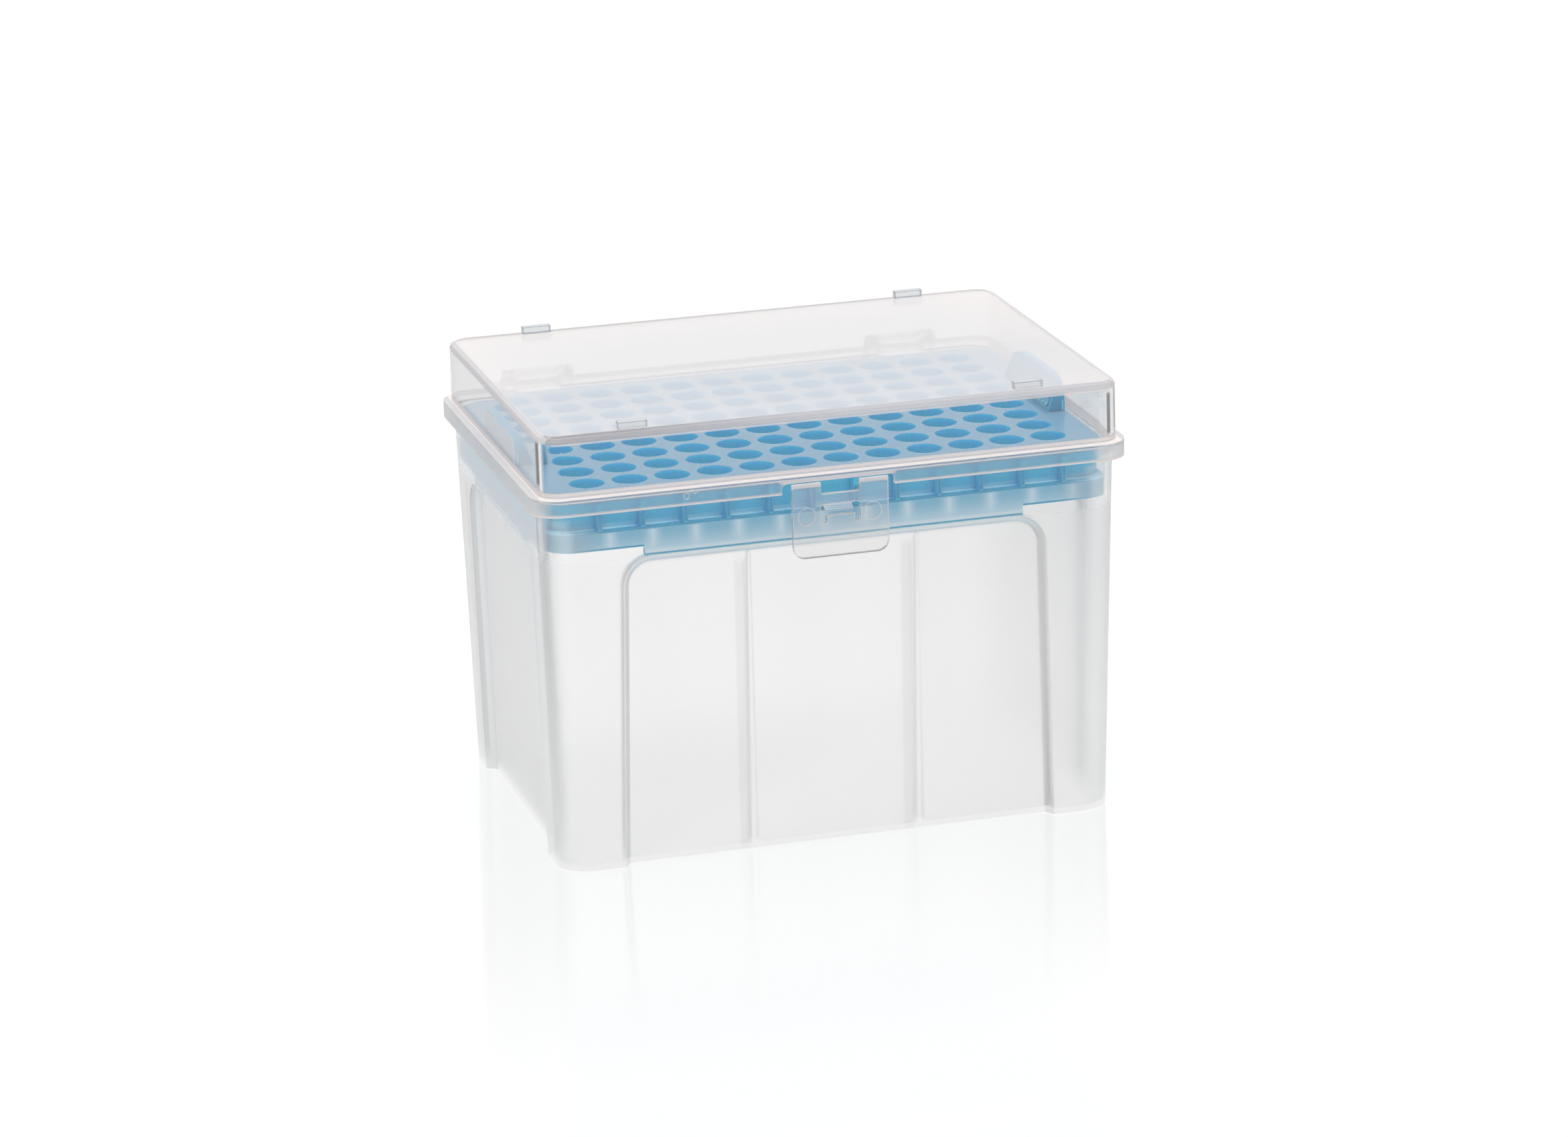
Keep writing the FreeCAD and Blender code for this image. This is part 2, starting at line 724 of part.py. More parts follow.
def make_flap():
    """Latch flap: window strips that bend at the top, and a tongue that sits under the catch."""
    body = new_body("latch_flap")
    plate = new_sketch(body, "FlapSketch", "XZ_Plane", "flap_back_y")
    add_profile(
        plate,
        [
            ("-flap_half", "flap_bottom", "flap_corner"),
            ("flap_half", "flap_bottom", "flap_corner"),
            ("flap_half", "bend_start"),
            ("-flap_half", "bend_start"),
        ],
    )
    extrude(body, "Pad", plate, "flap_thick")
    strip = new_sketch(body, "StripSketch", "YZ_Plane")
    add_profile(
        strip,
        [
            ("-(flap_back_y + flap_thick)", "bend_start"),
            ("-flap_back_y", "bend_start"),
            ("-(bend_y - bend_radius)", "bend_start + 0.3"),
            ("-(bend_y - bend_radius)", "bend_height + bend_radius", "bend_radius * 0.75"),
            ("-(bend_y + bend_radius)", "bend_height + bend_radius", "bend_radius * 0.75"),
            ("-(bend_y + bend_radius)", "bend_start + 0.3"),
        ],
    )
    extrude(body, "Pad", strip, "flap_half * 2", symmetric=True)
    reach = "flap_thick * 3"
    window = new_sketch(body, "WindowSketch", "XZ_Plane", "flap_back_y - flap_thick")
    add_profile(
        window,
        [
            ("-window_half", "window_sill", "0.5"),
            ("window_half", "window_sill", "0.5"),
            ("window_half", "bend_height + bend_radius + 1"),
            ("-window_half", "bend_height + bend_radius + 1"),
        ],
    )
    extrude(body, "Pocket", window, reach, reverse=True)
    slot = new_sketch(body, "SlotSketch", "XZ_Plane", "flap_back_y - flap_thick")
    add_profile(
        slot,
        [
            ("-slot_half", "slot_bottom"),
            ("-tongue_half", "slot_bottom"),
            ("-tongue_half", "tongue_top"),
            ("tongue_half", "tongue_top"),
            ("tongue_half", "slot_bottom"),
            ("slot_half", "slot_bottom"),
            ("slot_half", "slot_top", "0.6"),
            ("-slot_half", "slot_top", "0.6"),
        ],
    )
    extrude(body, "Pocket", slot, reach, reverse=True)
    return body


def main():
    bodies = [make_base(), make_rack(), make_lid(), make_flap()]
    document.recompute()
    for item in document.Objects:
        if "Invalid" in item.State or "Error" in item.State:
            raise ValueError(f"{item.Name} is {item.State}")
    for body in bodies:
        shape = body.Shape
        if shape.isNull() or not shape.isValid() or len(shape.Solids) != 1:
            raise ValueError(f"{body.Label} isn't one valid solid")
    os.makedirs("parts", exist_ok=True)
    for body in bodies:
        body.Shape.exportStep(f"parts/{body.Label}.step")


main()
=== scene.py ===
import logging
import math
from dataclasses import dataclass
from enum import Enum
from typing import Optional, Sequence, Union

import bpy
from mathutils import Matrix, Vector


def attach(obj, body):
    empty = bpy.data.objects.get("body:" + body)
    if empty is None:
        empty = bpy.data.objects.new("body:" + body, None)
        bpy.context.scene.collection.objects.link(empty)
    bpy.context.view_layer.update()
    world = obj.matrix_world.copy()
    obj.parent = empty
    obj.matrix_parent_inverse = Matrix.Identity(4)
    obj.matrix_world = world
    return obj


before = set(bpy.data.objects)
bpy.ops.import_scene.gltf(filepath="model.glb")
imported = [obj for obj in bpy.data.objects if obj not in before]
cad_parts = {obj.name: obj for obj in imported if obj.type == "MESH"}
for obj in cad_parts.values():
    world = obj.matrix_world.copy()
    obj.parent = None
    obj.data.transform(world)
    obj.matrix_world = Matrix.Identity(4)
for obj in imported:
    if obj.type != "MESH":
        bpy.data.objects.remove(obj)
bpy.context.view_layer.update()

LOG = logging.getLogger("tip_box")
Number = Union[int, float]
Socket = bpy.types.NodeSocket
Piece = bpy.types.Object
Material = bpy.types.Material
Triple = tuple[float, float, float]
# Linear red, green and blue.
Colour = Triple
# Where a share is still 0, and where it has reached 1.
Fade = tuple[float, float]
# The three numbers that near, between or outside takes, in metres.
Band = Triple

BLACK: Colour = (0.0, 0.0, 0.0)
WHITE: Colour = (1.0, 1.0, 1.0)
PLASTIC_IOR = 1.49
EDGE_COSINE: Fade = (0.80, 0.985)
CUT_LIFT = 0.00001
PLATE_TOP = 0.07994
TAB_FOOT_X = 0.0554
TAB_SLOPE = 0.363


class Finish(Enum):
    """The plastics of the box, by the record's slot names."""

    FROSTED = "frosted_pp"
    BLUE = "blue_pp"
    CLEAR = "clear_pp"


class Tree:
    """A node tree that is written to with plain calls."""

    def __init__(self, owner: Union[Material, bpy.types.World]) -> None:
        """Empties the owner's tree.

        Args:
            owner: the material or world whose nodes are written.
        """
        owner.use_nodes = True
        self.nodes = owner.node_tree.nodes
        self.links = owner.node_tree.links
        self.nodes.clear()

    def add(
        self,
        kind: str,
        settings: Optional[dict[str, object]] = None,
        inputs: Optional[dict[Union[str, int], object]] = None,
    ) -> bpy.types.Node:
        """Adds a node, sets it up and fills its sockets.

        Args:
            kind: the node's type, such as ShaderNodeMath.
            settings: properties of the node, set first.
            inputs: a value, a Sock or a socket for each named input.

        Returns:
            The new node.
        """
        node = self.nodes.new(kind)
        for name, setting in (settings or {}).items():
            setattr(node, name, setting)
        for name, given in (inputs or {}).items():
            self.feed(node.inputs[name], given)
        return node

    def feed(self, socket: Socket, given: object) -> None:
        """Links or sets one input.

        Args:
            socket: the input to fill.
            given: a Sock, an output socket or a plain value.
        """
        if isinstance(given, Sock):
            self.links.new(given.out, socket)
        elif isinstance(given, Socket):
            self.links.new(given, socket)
        elif socket.type == "RGBA" and len(given) == 3:
            socket.default_value = (*given, 1.0)
        else:
            socket.default_value = given

    def noise(self, scale: float, detail: float, rough: float, stretch: Triple = (1.0, 1.0, 1.0)) -> "Sock":
        """Noise between 0 and 1 over the object's own metres.

        Args:
            scale: features per metre.
            detail: octaves.
            rough: how strong the finer octaves are.
            stretch: factor on each axis of the coordinates.

        Returns:
            The noise value.
        """
        place = self.add("ShaderNodeTexCoord").outputs["Object"]
        turned = self.add("ShaderNodeMapping", None, {"Vector": place, "Scale": stretch})
        node = self.add(
            "ShaderNodeTexNoise",
            {"noise_dimensions": "3D"},
            {"Vector": turned.outputs[0], "Scale": scale, "Detail": detail, "Roughness": rough},
        )
        return Sock(self, node.outputs["Fac"])

    def axis(self, letter: str) -> "Sock":
        """One object coordinate, in metres.

        Args:
            letter: X, Y or Z.

        Returns:
            That coordinate.
        """
        place = self.add("ShaderNodeTexCoord").outputs["Object"]
        split = self.add("ShaderNodeSeparateXYZ", None, {"Vector": place})
        return Sock(self, split.outputs[letter])

    def mixed(self, share: Union["Sock", float], low: object, high: object) -> "Sock":
        """Mixes two colours, either of which may come from nodes.

        Args:
            share: 0 gives low and 1 gives high.
            low: a Sock or a linear colour.
            high: a Sock or a linear colour.

        Returns:
            The mixed colour.
        """
        node = self.add("ShaderNodeMix", {"data_type": "RGBA"}, {0: share, 6: low, 7: high})
        return Sock(self, node.outputs[2])

    def bump(self, height: "Sock", strength: float, depth: float, over: Optional["Sock"] = None) -> "Sock":
        """A normal bent by a height.

        Args:
            height: between 0 and 1.
            strength: 0 to 1.
            depth: metres between height 0 and 1.
            over: the normal that is bent, or None for the surface's own.

        Returns:
            The normal.
        """
        node = self.add("ShaderNodeBump", None, {"Height": height, "Strength": strength, "Distance": depth})
        if over is not None:
            self.feed(node.inputs["Normal"], over)
        return Sock(self, node.outputs[0])

    def place(self) -> tuple["Sock", "Sock", "Sock"]:
        """The three object coordinates, in metres."""
        return self.axis("X"), self.axis("Y"), self.axis("Z")

    def outside(self, wide: "Sock", far: "Sock", outline: Band) -> "Sock":
        """Distance from the outline of a rounded rectangle.

        Args:
            wide: how far along its first side.
            far: how far along its second side.
            outline: half its first side, half its second side and its corners' radius.

        Returns:
            Metres outside it, less than 0 inside it.
        """
        half_wide, half_far, radius = outline
        past = wide - (half_wide - radius)
        over = far - (half_far - radius)
        corner = (past.larger(0.0) ** 2.0 + over.larger(0.0) ** 2.0) ** 0.5
        return corner + past.larger(over).smaller(0.0) - radius

    def milk(self, tint: object, through: float) -> Socket:
        """A milky layer that scatters light back and on.

        Args:
            tint: its colour, or a Sock.
            through: the share of light that it scatters on.

        Returns:
            The layer's shader.
        """
        front = self.add("ShaderNodeBsdfDiffuse", None, {"Color": tint})
        behind = self.add("ShaderNodeBsdfTranslucent", None, {"Color": tint})
        return self.blend(through, front.outputs[0], behind.outputs[0])

    def blend(self, share: object, low: Socket, high: Socket) -> Socket:
        """Mixes two shaders.

        Args:
            share: 0 gives low and 1 gives high.
            low: a shader.
            high: a shader.

        Returns:
            The mixed shader.
        """
        mix = self.add("ShaderNodeMixShader", None, {0: share})
        self.links.new(low, mix.inputs[1])
        self.links.new(high, mix.inputs[2])
        return mix.outputs[0]

    def rounded(self, radius: float) -> tuple["Sock", "Sock"]:
        """Edges that shade as if they were rounded.

        Args:
            radius: how far from an edge the rounding reaches, in metres.

        Returns:
            The rounded normal, and a share that is 1 on the edges and 0 away from them.
        """
        soft = self.add("ShaderNodeBevel", {"samples": 6}, {"Radius": radius}).outputs[0]
        plain = self.add("ShaderNodeNewGeometry").outputs["Normal"]
        dot = self.add("ShaderNodeVectorMath", {"operation": "DOT_PRODUCT"}, {0: soft, 1: plain})
        return Sock(self, soft), 1 - Sock(self, dot.outputs["Value"]).step(*EDGE_COSINE)


class Sock:
    """An output socket that takes part in Python arithmetic."""

    def __init__(self, tree: Tree, out: Socket) -> None:
        """Wraps a socket.

        Args:
            tree: the tree the socket is in.
            out: the output socket.
        """
        self.tree = tree
        self.out = out

    def _math(self, operation: str, *operands: object, clamp: bool = False) -> "Sock":
        """Adds a Math node.

        Args:
            operation: the node's operation.
            operands: a Sock or a number for each input.
            clamp: whether the result is held between 0 and 1.

        Returns:
            Its result.
        """
        settings = {"operation": operation, "use_clamp": clamp}
        node = self.tree.add("ShaderNodeMath", settings, dict(enumerate(operands)))
        return Sock(self.tree, node.outputs[0])

    def __add__(self, other: object) -> "Sock":
        """self + other."""
        return self._math("ADD", self, other)

    def __sub__(self, other: object) -> "Sock":
        """self - other."""
        return self._math("SUBTRACT", self, other)

    def __mul__(self, other: object) -> "Sock":
        """self * other."""
        return self._math("MULTIPLY", self, other)

    def __truediv__(self, other: object) -> "Sock":
        """self / other."""
        return self._math("DIVIDE", self, other)

    def __pow__(self, other: object) -> "Sock":
        """self ** other."""
        return self._math("POWER", self, other)

    def __rsub__(self, other: Number) -> "Sock":
        """other - self."""
        return self._math("SUBTRACT", other, self)

    def __rtruediv__(self, other: Number) -> "Sock":
        """other / self."""
        return self._math("DIVIDE", other, self)

    __radd__ = __add__
    __rmul__ = __mul__

    def size(self) -> "Sock":
        """The value without its sign."""
        return self._math("ABSOLUTE", self)

    def larger(self, other: object) -> "Sock":
        """The larger of two values."""
        return self._math("MAXIMUM", self, other)

    def smaller(self, other: object) -> "Sock":
        """The smaller of two values."""
        return self._math("MINIMUM", self, other)

    def clamped(self) -> "Sock":
        """The value held between 0 and 1."""
        return self._math("ADD", self, 0.0, clamp=True)

    def wrapped(self, low: float, high: float) -> "Sock":
        """The value wrapped into a range, for what repeats."""
        return self._math("WRAP", self, high, low)

    def turned_from(self, other: "Sock") -> "Sock":
        """The angle whose rise is this value and whose run is the other, in radians."""
        return self._math("ARCTAN2", self, other)

    def near(self, centre: float, half: float, soft: float) -> "Sock":
        """1 within half of a centre, and 0 from soft further out."""
        return 1 - (self - centre).size().step(half, half + soft)

    def between(self, low: float, high: float, soft: float) -> "Sock":
        """1 between two values, fading inside each end over soft."""
        return self.step(low, low + soft) * (1 - self.step(high - soft, high))

    def step(self, low: float, high: float) -> "Sock":
        """Rises smoothly from 0 to 1.

        Args:
            low: where it is still 0.
            high: where it has reached 1.

        Returns:
            The share.
        """
        node = self.tree.add(
            "ShaderNodeMapRange",
            {"interpolation_type": "SMOOTHSTEP"},
            {"Value": self, "From Min": low, "From Max": high},
        )
        return Sock(self.tree, node.outputs[0])


@dataclass(frozen=True)
class FrostedPlastic:
    """Natural polypropylene: milky below, and clearer in the rim that holds the rack, with painted shade at
    its corners, panel borders, foot and inner ribs.
    """

    # Painted shade: the front faces get darker tints than the ends, and both get darker upwards.
    front_tint_low: Colour = (0.977, 0.973, 0.972)
    front_tint_high: Colour = (0.938, 0.933, 0.932)
    side_tint_low: Colour = (0.985, 0.985, 0.985)
    side_tint_high: Colour = (0.960, 0.960, 0.960)
    milk_tint: Colour = (0.97, 0.97, 0.97)
    catch_tint: Colour = (0.80, 0.76, 0.76)
    shadow_tint: Colour = (0.96, 0.96, 0.96)
    roughness: float = 0.32
    rough_spread: float = 0.03
    rim_roughness: float = 0.14
    clearness: float = 0.985
    through: float = 0.35
    low_share: float = 0.15
    # Shares of painted shade at the corners, corner columns, panel borders, foot and inner ribs.
    corner_shade: float = 0.28
    column_shade: float = 0.13
    border_shade: float = 0.24
    border_fade: float = 0.75
    foot_shade: float = 0.07
    rib_shade: float = 0.08
    rib_line_share: float = 0.9
    cloud_loss: float = 0.012
    haze_slope: float = 0.70
    haze_bar: float = 0.25
    haze_side_rim: float = 0.28
    haze_brow: float = 0.55
    haze_catch: float = 0.28
    haze_lip: float = 0.45
    haze_most: float = 0.8
    panel_top: float = 0.0665
    panel_corner: float = 0.0065
    panel_taper: float = 0.0016
    front_panel: float = 0.0466
    side_panel: float = 0.0289
    lean_x: float = 0.0208
    lean_y: float = 0.0202
    corner_x: float = 0.05295
    corner_y: float = 0.0350
    rib_band_shift: float = 0.0025
    rib_line_shift: float = 0.0014
    tint_rise: Fade = (0.004, 0.060)
    shade_rise: Fade = (0.0, 0.058)
    corner_arc: Band = (-0.05, 0.66, 0.33)
    column_y: Band = (0.0301, 0.0005, 0.0014)
    column_top: Fade = (0.064, 0.066)
    long_wall_y: Fade = (0.0370, 0.0380)
    long_face_y: Fade = (0.0362, 0.0380)
    long_face_end: Fade = (0.0545, 0.0570)
    end_wall_x: Fade = (0.0560, 0.0570)
    border_band: Band = (-0.0017, 0.0003, 0.0007)
    border_top: Fade = (0.0630, 0.0655)
    foot_edge: Fade = (0.0008, 0.0016)
    rib_band: Band = (0.0178, 0.0009, 0.0004)
    rib_line: Band = (0.0178, 0.0003, 0.0003)
    rib_line_rise: Fade = (0.010, 0.055)
    rib_top: Fade = (0.0620, 0.0640)
    rim_from: Fade = (0.0650, 0.0690)
    side_rim_x: Fade = (0.0600, 0.0604)
    catch_x: Fade = (0.0032, 0.0034)
    catch_y: Fade = (0.0437, 0.0439)
    catch_z: Band = (0.0712, 0.0756, 0.0002)
    lip_y: Fade = (0.0441, 0.0443)
    slope_band: Band = (-0.0018, 0.0001, 0.0003)
    bar_band: Band = (-0.0015, 0.0003, 0.0002)
    brow_band: Band = (-0.0019, 0.0002, 0.0003)
    brow_from: Fade = (0.0615, 0.0650)

    def border(self, side: Sock, height: Sock, half: float) -> Sock:
        """Distance outside the rounded border of a sunk panel.

        Args:
            side: distance from the panel's middle line.
            height: height above the foot.
            half: half the panel's width at its foot.

        Returns:
            Metres outside the border, less than 0 inside it.
        """
        straight = side + height * (self.panel_taper / self.panel_top)
        return side.tree.outside(straight, height, (half, self.panel_top, self.panel_corner))

    def painted_shade(self, tree: Tree) -> Sock:
        """Painted shade: how much darker the wall is made at its corners, panel borders, inner ribs and
        foot.

        Args:
            tree: the material's tree.

        Returns:
            The share of painted darkening.
        """
        across, deep, height = tree.place()
        wide, far = across.size(), deep.size()
        rise = height.step(*self.shade_rise) * (1 - self.low_share) + self.low_share
        run = wide - height * self.lean_x - self.corner_x
        corner = (far - height * self.lean_y - self.corner_y).turned_from(run).between(*self.corner_arc)
        column = far.near(*self.column_y) * wide.step(*self.end_wall_x)
        column = column * (1 - height.step(*self.column_top))
        border = self.border(wide, height, self.front_panel).between(*self.border_band)
        border = border * far.step(*self.long_wall_y)
        foot = 1 - height.step(*self.foot_edge)
        darkening = rise * (corner * self.corner_shade + column * self.column_shade)
        fading = 1 - height.step(*self.border_top) * self.border_fade
        # Painted shadow of each inner rib, shifted sideways so it lines up from one view.
        band = (across + self.rib_band_shift).size().near(*self.rib_band)
        line = (across + self.rib_line_shift).size().near(*self.rib_line)
        line = line * height.step(*self.rib_line_rise) * self.rib_line_share
        rib = (band + line) * (0 - deep).step(*self.long_wall_y) * (1 - height.step(*self.rib_top))
        darkening = darkening + border * fading * self.border_shade
        return darkening + foot * self.foot_shade + rib * self.rib_shade

    def haze(self, tree: Tree, rim: Sock) -> tuple[Sock, Sock]:
        """Where the wall is milky: its catch, panel slopes, panel tops and side rims.

        Args:
            tree: the material's tree.
            rim: 1 in the rim.

        Returns:
            The share of haze, and 1 on the catch.
        """
        across, deep, height = tree.place()
        wide, far = across.size(), deep.size()
        catch = (1 - wide.step(*self.catch_x)) * (0 - deep).step(*self.catch_y)
        catch = catch * height.between(*self.catch_z)
        lip = catch * (1 - (0 - deep).step(*self.lip_y))
        border = self.border(far, height, self.side_panel)
        slope = border.between(*self.slope_band) * self.haze_slope
        slope = slope + border.near(*self.bar_band) * self.haze_bar
        side_rim = rim * wide.step(*self.side_rim_x) * self.haze_side_rim
        slope = slope * wide.step(*self.end_wall_x) * (1 - rim) + side_rim
        brow = self.border(wide, height, self.front_panel).between(*self.brow_band)
        slope = slope + brow * far.step(*self.long_wall_y) * height.step(*self.brow_from) * self.haze_brow
        return catch * self.haze_catch + lip * self.haze_lip + slope, catch

    def make(self) -> Material:
        """Builds the material.

        Returns:
            The material.
        """
        material = bpy.data.materials.new("frosted_polypropylene")
        tree = Tree(material)
        cloud = tree.noise(scale=35.0, detail=3.0, rough=0.55)
        across, deep, height = tree.place()
        # Painted shade: darker tints on the front faces and higher up the wall.
        front = deep.size().step(*self.long_face_y) * (1 - across.size().step(*self.long_face_end))
        side = tree.mixed(height.step(*self.tint_rise), self.side_tint_low, self.side_tint_high)
        face = tree.mixed(height.step(*self.tint_rise), self.front_tint_low, self.front_tint_high)
        tint = tree.mixed(front, side, face)
        # Painted shade, with a faint random cloud on top.
        darkening = self.painted_shade(tree) + cloud * self.cloud_loss
        rim = height.step(*self.rim_from)
        rough = (cloud - 0.5) * self.rough_spread + self.roughness
        plastic = tree.add(
            "ShaderNodeBsdfPrincipled",
            None,
            {
                "Base Color": tree.mixed(darkening.clamped(), tint, BLACK),
                "Roughness": rough - rim * (self.roughness - self.rim_roughness),
                "IOR": PLASTIC_IOR,
                "Transmission Weight": self.clearness,
                "Normal": tree.bump(cloud, strength=0.2, depth=0.0001),
            },
        )
        share, catch = self.haze(tree, rim)
        milk = tree.milk(tree.mixed(catch, self.milk_tint, self.catch_tint), self.through)
        body = tree.blend(share.smaller(self.haze_most), plastic.outputs[0], milk)
        return through_shadow(tree, material, body, self.shadow_tint)


@dataclass(frozen=True)
class ClearPlastic:
    """Clear moulded polypropylene that turns hazy at a low angle, with painted highlights along its edges.
    """

    name: str = "clear_polypropylene"
    tint: Colour = (0.985, 0.980, 0.978)
    tint_spread: float = 0.995
    roughness: float = 0.008
    rough_spread: float = 0.008
    edge_radius: float = 0.0004
    haze_least: float = 0.03
    haze_edges: float = 0.50
    haze_most: float = 0.85
    through: float = 0.3
    # Painted highlight on edges that catch the light.
    edge_highlight: Colour = (0.92, 0.82, 0.79)
    shadow_tint: Colour = (0.97, 0.97, 0.97)

    def veil(self, tree: Tree, edge: Sock, facing: Sock) -> tuple[Sock, Sock]:
        """Where the plastic is hazy, and of what colour.

        Args:
            tree: the material's tree.
            edge: 1 on the edges.
            facing: 0 where the surface is seen square on, and 1 at its outline.

        Returns:
            The share of haze and its colour.
        """
        raise NotImplementedError

    def blur(self, tree: Tree) -> Union[Sock, float]:
        """How much rougher the plastic is in places."""
        return 0.0

    def make(self) -> Material:
        """Builds the material.

        Returns:
            The material.
        """
        material = bpy.data.materials.new(self.name)
        tree = Tree(material)
        flow = tree.noise(scale=28.0, detail=2.0, rough=0.5, stretch=(1.0, 1.0, 0.4))
        fine = tree.noise(scale=420.0, detail=3.0, rough=0.6)
        soft, edge = tree.rounded(self.edge_radius)
        plastic = tree.add(
            "ShaderNodeBsdfPrincipled",
            None,
            {
                "Base Color": tree.mixed(flow, tuple(c * self.tint_spread for c in self.tint), self.tint),
                "Roughness": (fine - 0.5) * self.rough_spread + self.roughness + self.blur(tree),
                "IOR": PLASTIC_IOR,
                "Transmission Weight": 1.0,
                "Normal": tree.bump(flow, strength=0.12, depth=0.0001, over=soft),
            },
        )
        facing = Sock(tree, tree.add("ShaderNodeLayerWeight", None, {"Blend": 0.5}).outputs["Facing"])
        share, tint = self.veil(tree, edge, facing)
        milk = tree.milk(tint, self.through)
        body = tree.blend(share.smaller(self.haze_most), plastic.outputs[0], milk)
        return through_shadow(tree, material, body, self.shadow_tint)


@dataclass(frozen=True)
class LidPlastic(ClearPlastic):
    """The lid's plastic: hazy top and end walls, with painted highlights on the flange edges and painted
    shade along the rim.
    """

    haze_walls: float = 0.35
    haze_top: float = 0.88
    haze_rim: float = 0.62
    haze_ledge: float = 0.75
    haze_flange: float = 0.05
    haze_side_flange: float = 0.28
    haze_tab: float = 0.25
    haze_post: float = 0.45
    foot_share: float = 0.7
    sill_share: float = 0.8
    notch_share: float = 0.7
    dip_share: float = 0.35
    flank_edge_share: float = 0.6
    flange_blur: float = 0.30
    # Painted light and shade: the top's haze is a light warm white, the walls' haze a darker grey.
    top_tint: Colour = (0.92, 0.845, 0.815)
    wall_tint: Colour = (0.54, 0.52, 0.52)
    # Painted shade on the flange's haze, tinted blue like the rack behind it.
    flange_tint: Colour = (0.36, 0.42, 0.47)
    # Painted light: the side flanges and side rims are lighter than the front.
    side_flange_tint: Colour = (0.82, 0.80, 0.80)
    # Painted shade along the front rim, darker at the left than at the right.
    rim_shade_left: Colour = (0.40, 0.39, 0.42)
    rim_shade_right: Colour = (0.69, 0.68, 0.71)
    side_rim_tint: Colour = (0.80, 0.76, 0.76)
    # Painted highlight line along the side flanges.
    side_ledge_highlight: Colour = (0.74, 0.72, 0.72)
    # Painted highlight on the flange's upper face.
    ledge_highlight: Colour = (1.0, 0.90, 0.87)
    # The stacking tab's haze, with painted shade on its edges.
    tab_tint: Colour = (0.80, 0.80, 0.80)
    tab_edge_shade: Colour = (0.22, 0.23, 0.26)
    # Painted shade: a dark line inside the lid's right front corner only.
    post_shade: Colour = (0.12, 0.12, 0.12)
    top_from: Fade = (0.0912, 0.0922)
    rim_from: Fade = (0.0917, 0.0920)
    stack_tab_from: Fade = (0.0933, 0.0935)
    front_rim_y: Fade = (0.0419, 0.0422)
    side_rim_x: Fade = (0.0600, 0.0603)
    rim_run: Fade = (-0.058, 0.012)
    sill_z: Band = (0.09165, 0.0001, 0.0002)
    sill_y: Fade = (0.0425, 0.0430)
    ledge_z: Band = (0.0803, 0.0816, 0.0002)
    dip_z: Band = (0.08085, 0.00005, 0.0002)
    foot_to: Fade = (0.07725, 0.0775)
    notch_x: Fade = (0.0122, 0.0124)
    notch_y: Fade = (0.0432, 0.0436)
    notch_z: Band = (0.0794, 0.0001, 0.0002)
    shelf_z: Band = (0.0806, 0.0001, 0.0003)
    flange_to: Fade = (0.0801, 0.0803)
    side_flange_x: Fade = (0.0622, 0.0625)
    post_x: Band = (0.0590, 0.0003, 0.0002)
    post_y: Fade = (0.0405, 0.0410)
    post_z: Band = (0.0820, 0.0911, 0.0005)
    flank_x: Fade = (0.0618, 0.0620)
    flank_z: Band = (0.0806, 0.0001, 0.0002)

    def blur(self, tree: Tree) -> Union[Sock, float]:
        """The flange is rougher than the rest."""
        return (1 - tree.axis("Z").step(*self.flange_to)) * self.flange_blur

    def veil(self, tree: Tree, edge: Sock, facing: Sock) -> tuple[Sock, Sock]:
        """Hazy top, walls and rims by height and place, with painted light and shade in the haze's colour.

        Args:
            tree: the material's tree.
            edge: 1 on the edges.
            facing: 0 where the surface is seen square on, and 1 at its outline.

        Returns:
            The share of haze and its colour.
        """
        across, deep, height = tree.place()
        wide, far = across.size(), deep.size()
        inner = 1 - edge
        rim = height.step(*self.rim_from)
        stack_tab = height.step(*self.stack_tab_from)
        front_rim = far.step(*self.front_rim_y) * rim * (1 - stack_tab)
        side_rim = wide.step(*self.side_rim_x) * rim * (1 - front_rim)
        sill = height.near(*self.sill_z) * far.step(*self.sill_y)
        # Painted highlight band on the flange's upper face, with a dip in it.
        ledge = height.between(*self.ledge_z) * (1 - height.near(*self.dip_z) * self.dip_share)
        foot = 1 - height.step(*self.foot_to)
        notch = height.near(*self.notch_z) * (1 - wide.step(*self.notch_x)) * (0 - deep).step(*self.notch_y)
        level = (height.step(*self.top_from) + height.near(*self.shelf_z)).clamped()
        # Painted highlights on the edges, the flange's upper face and foot, the sill and the notch.
        light = (edge + ledge + foot + sill + notch).clamped()
        flange = 1 - height.step(*self.flange_to)
        side_flange = flange * wide.step(*self.side_flange_x)
        # Painted shade line inside the right front corner.
        post = across.near(*self.post_x) * (0 - deep).step(*self.post_y) * height.between(*self.post_z)
        # Painted highlight line along the side flanges' upper edge.
        flank = wide.step(*self.flank_x) * height.near(*self.flank_z) * (1 - edge * self.flank_edge_share)
        # Painted shade along the front rim, darker to the left.
        rim_shade = tree.mixed(across.step(*self.rim_run), self.rim_shade_left, self.rim_shade_right)
        tab_tint = tree.mixed(edge, self.tab_tint, self.tab_edge_shade)
        # Painted light and shade: light top, grey walls and a bluish grey flange.
        tint = tree.mixed(level, tree.mixed(flange, self.wall_tint, self.flange_tint), self.top_tint)
        layers = (
            (side_flange, self.side_flange_tint),
            (front_rim * inner, rim_shade),
            (side_rim * inner, self.side_rim_tint),
            (light, self.edge_highlight),
            (ledge, self.ledge_highlight),
            (post, self.post_shade),
            (stack_tab, tab_tint),
            (flank, self.side_ledge_highlight),
        )
        for part, colour in layers:
            tint = tree.mixed(part, tint, colour)
        slant = level * (self.haze_top - self.haze_walls) + self.haze_walls
        share = facing * facing * slant + self.haze_least
        share = share + (front_rim + side_rim) * self.haze_rim + edge * self.haze_edges
        share = share + flange * self.haze_flange + stack_tab * self.haze_tab
        share = share + post * self.haze_post + side_flange * self.haze_side_flange
        lines = ledge + foot * self.foot_share + sill * self.sill_share + notch * self.notch_share
        return share + lines * self.haze_ledge, tint


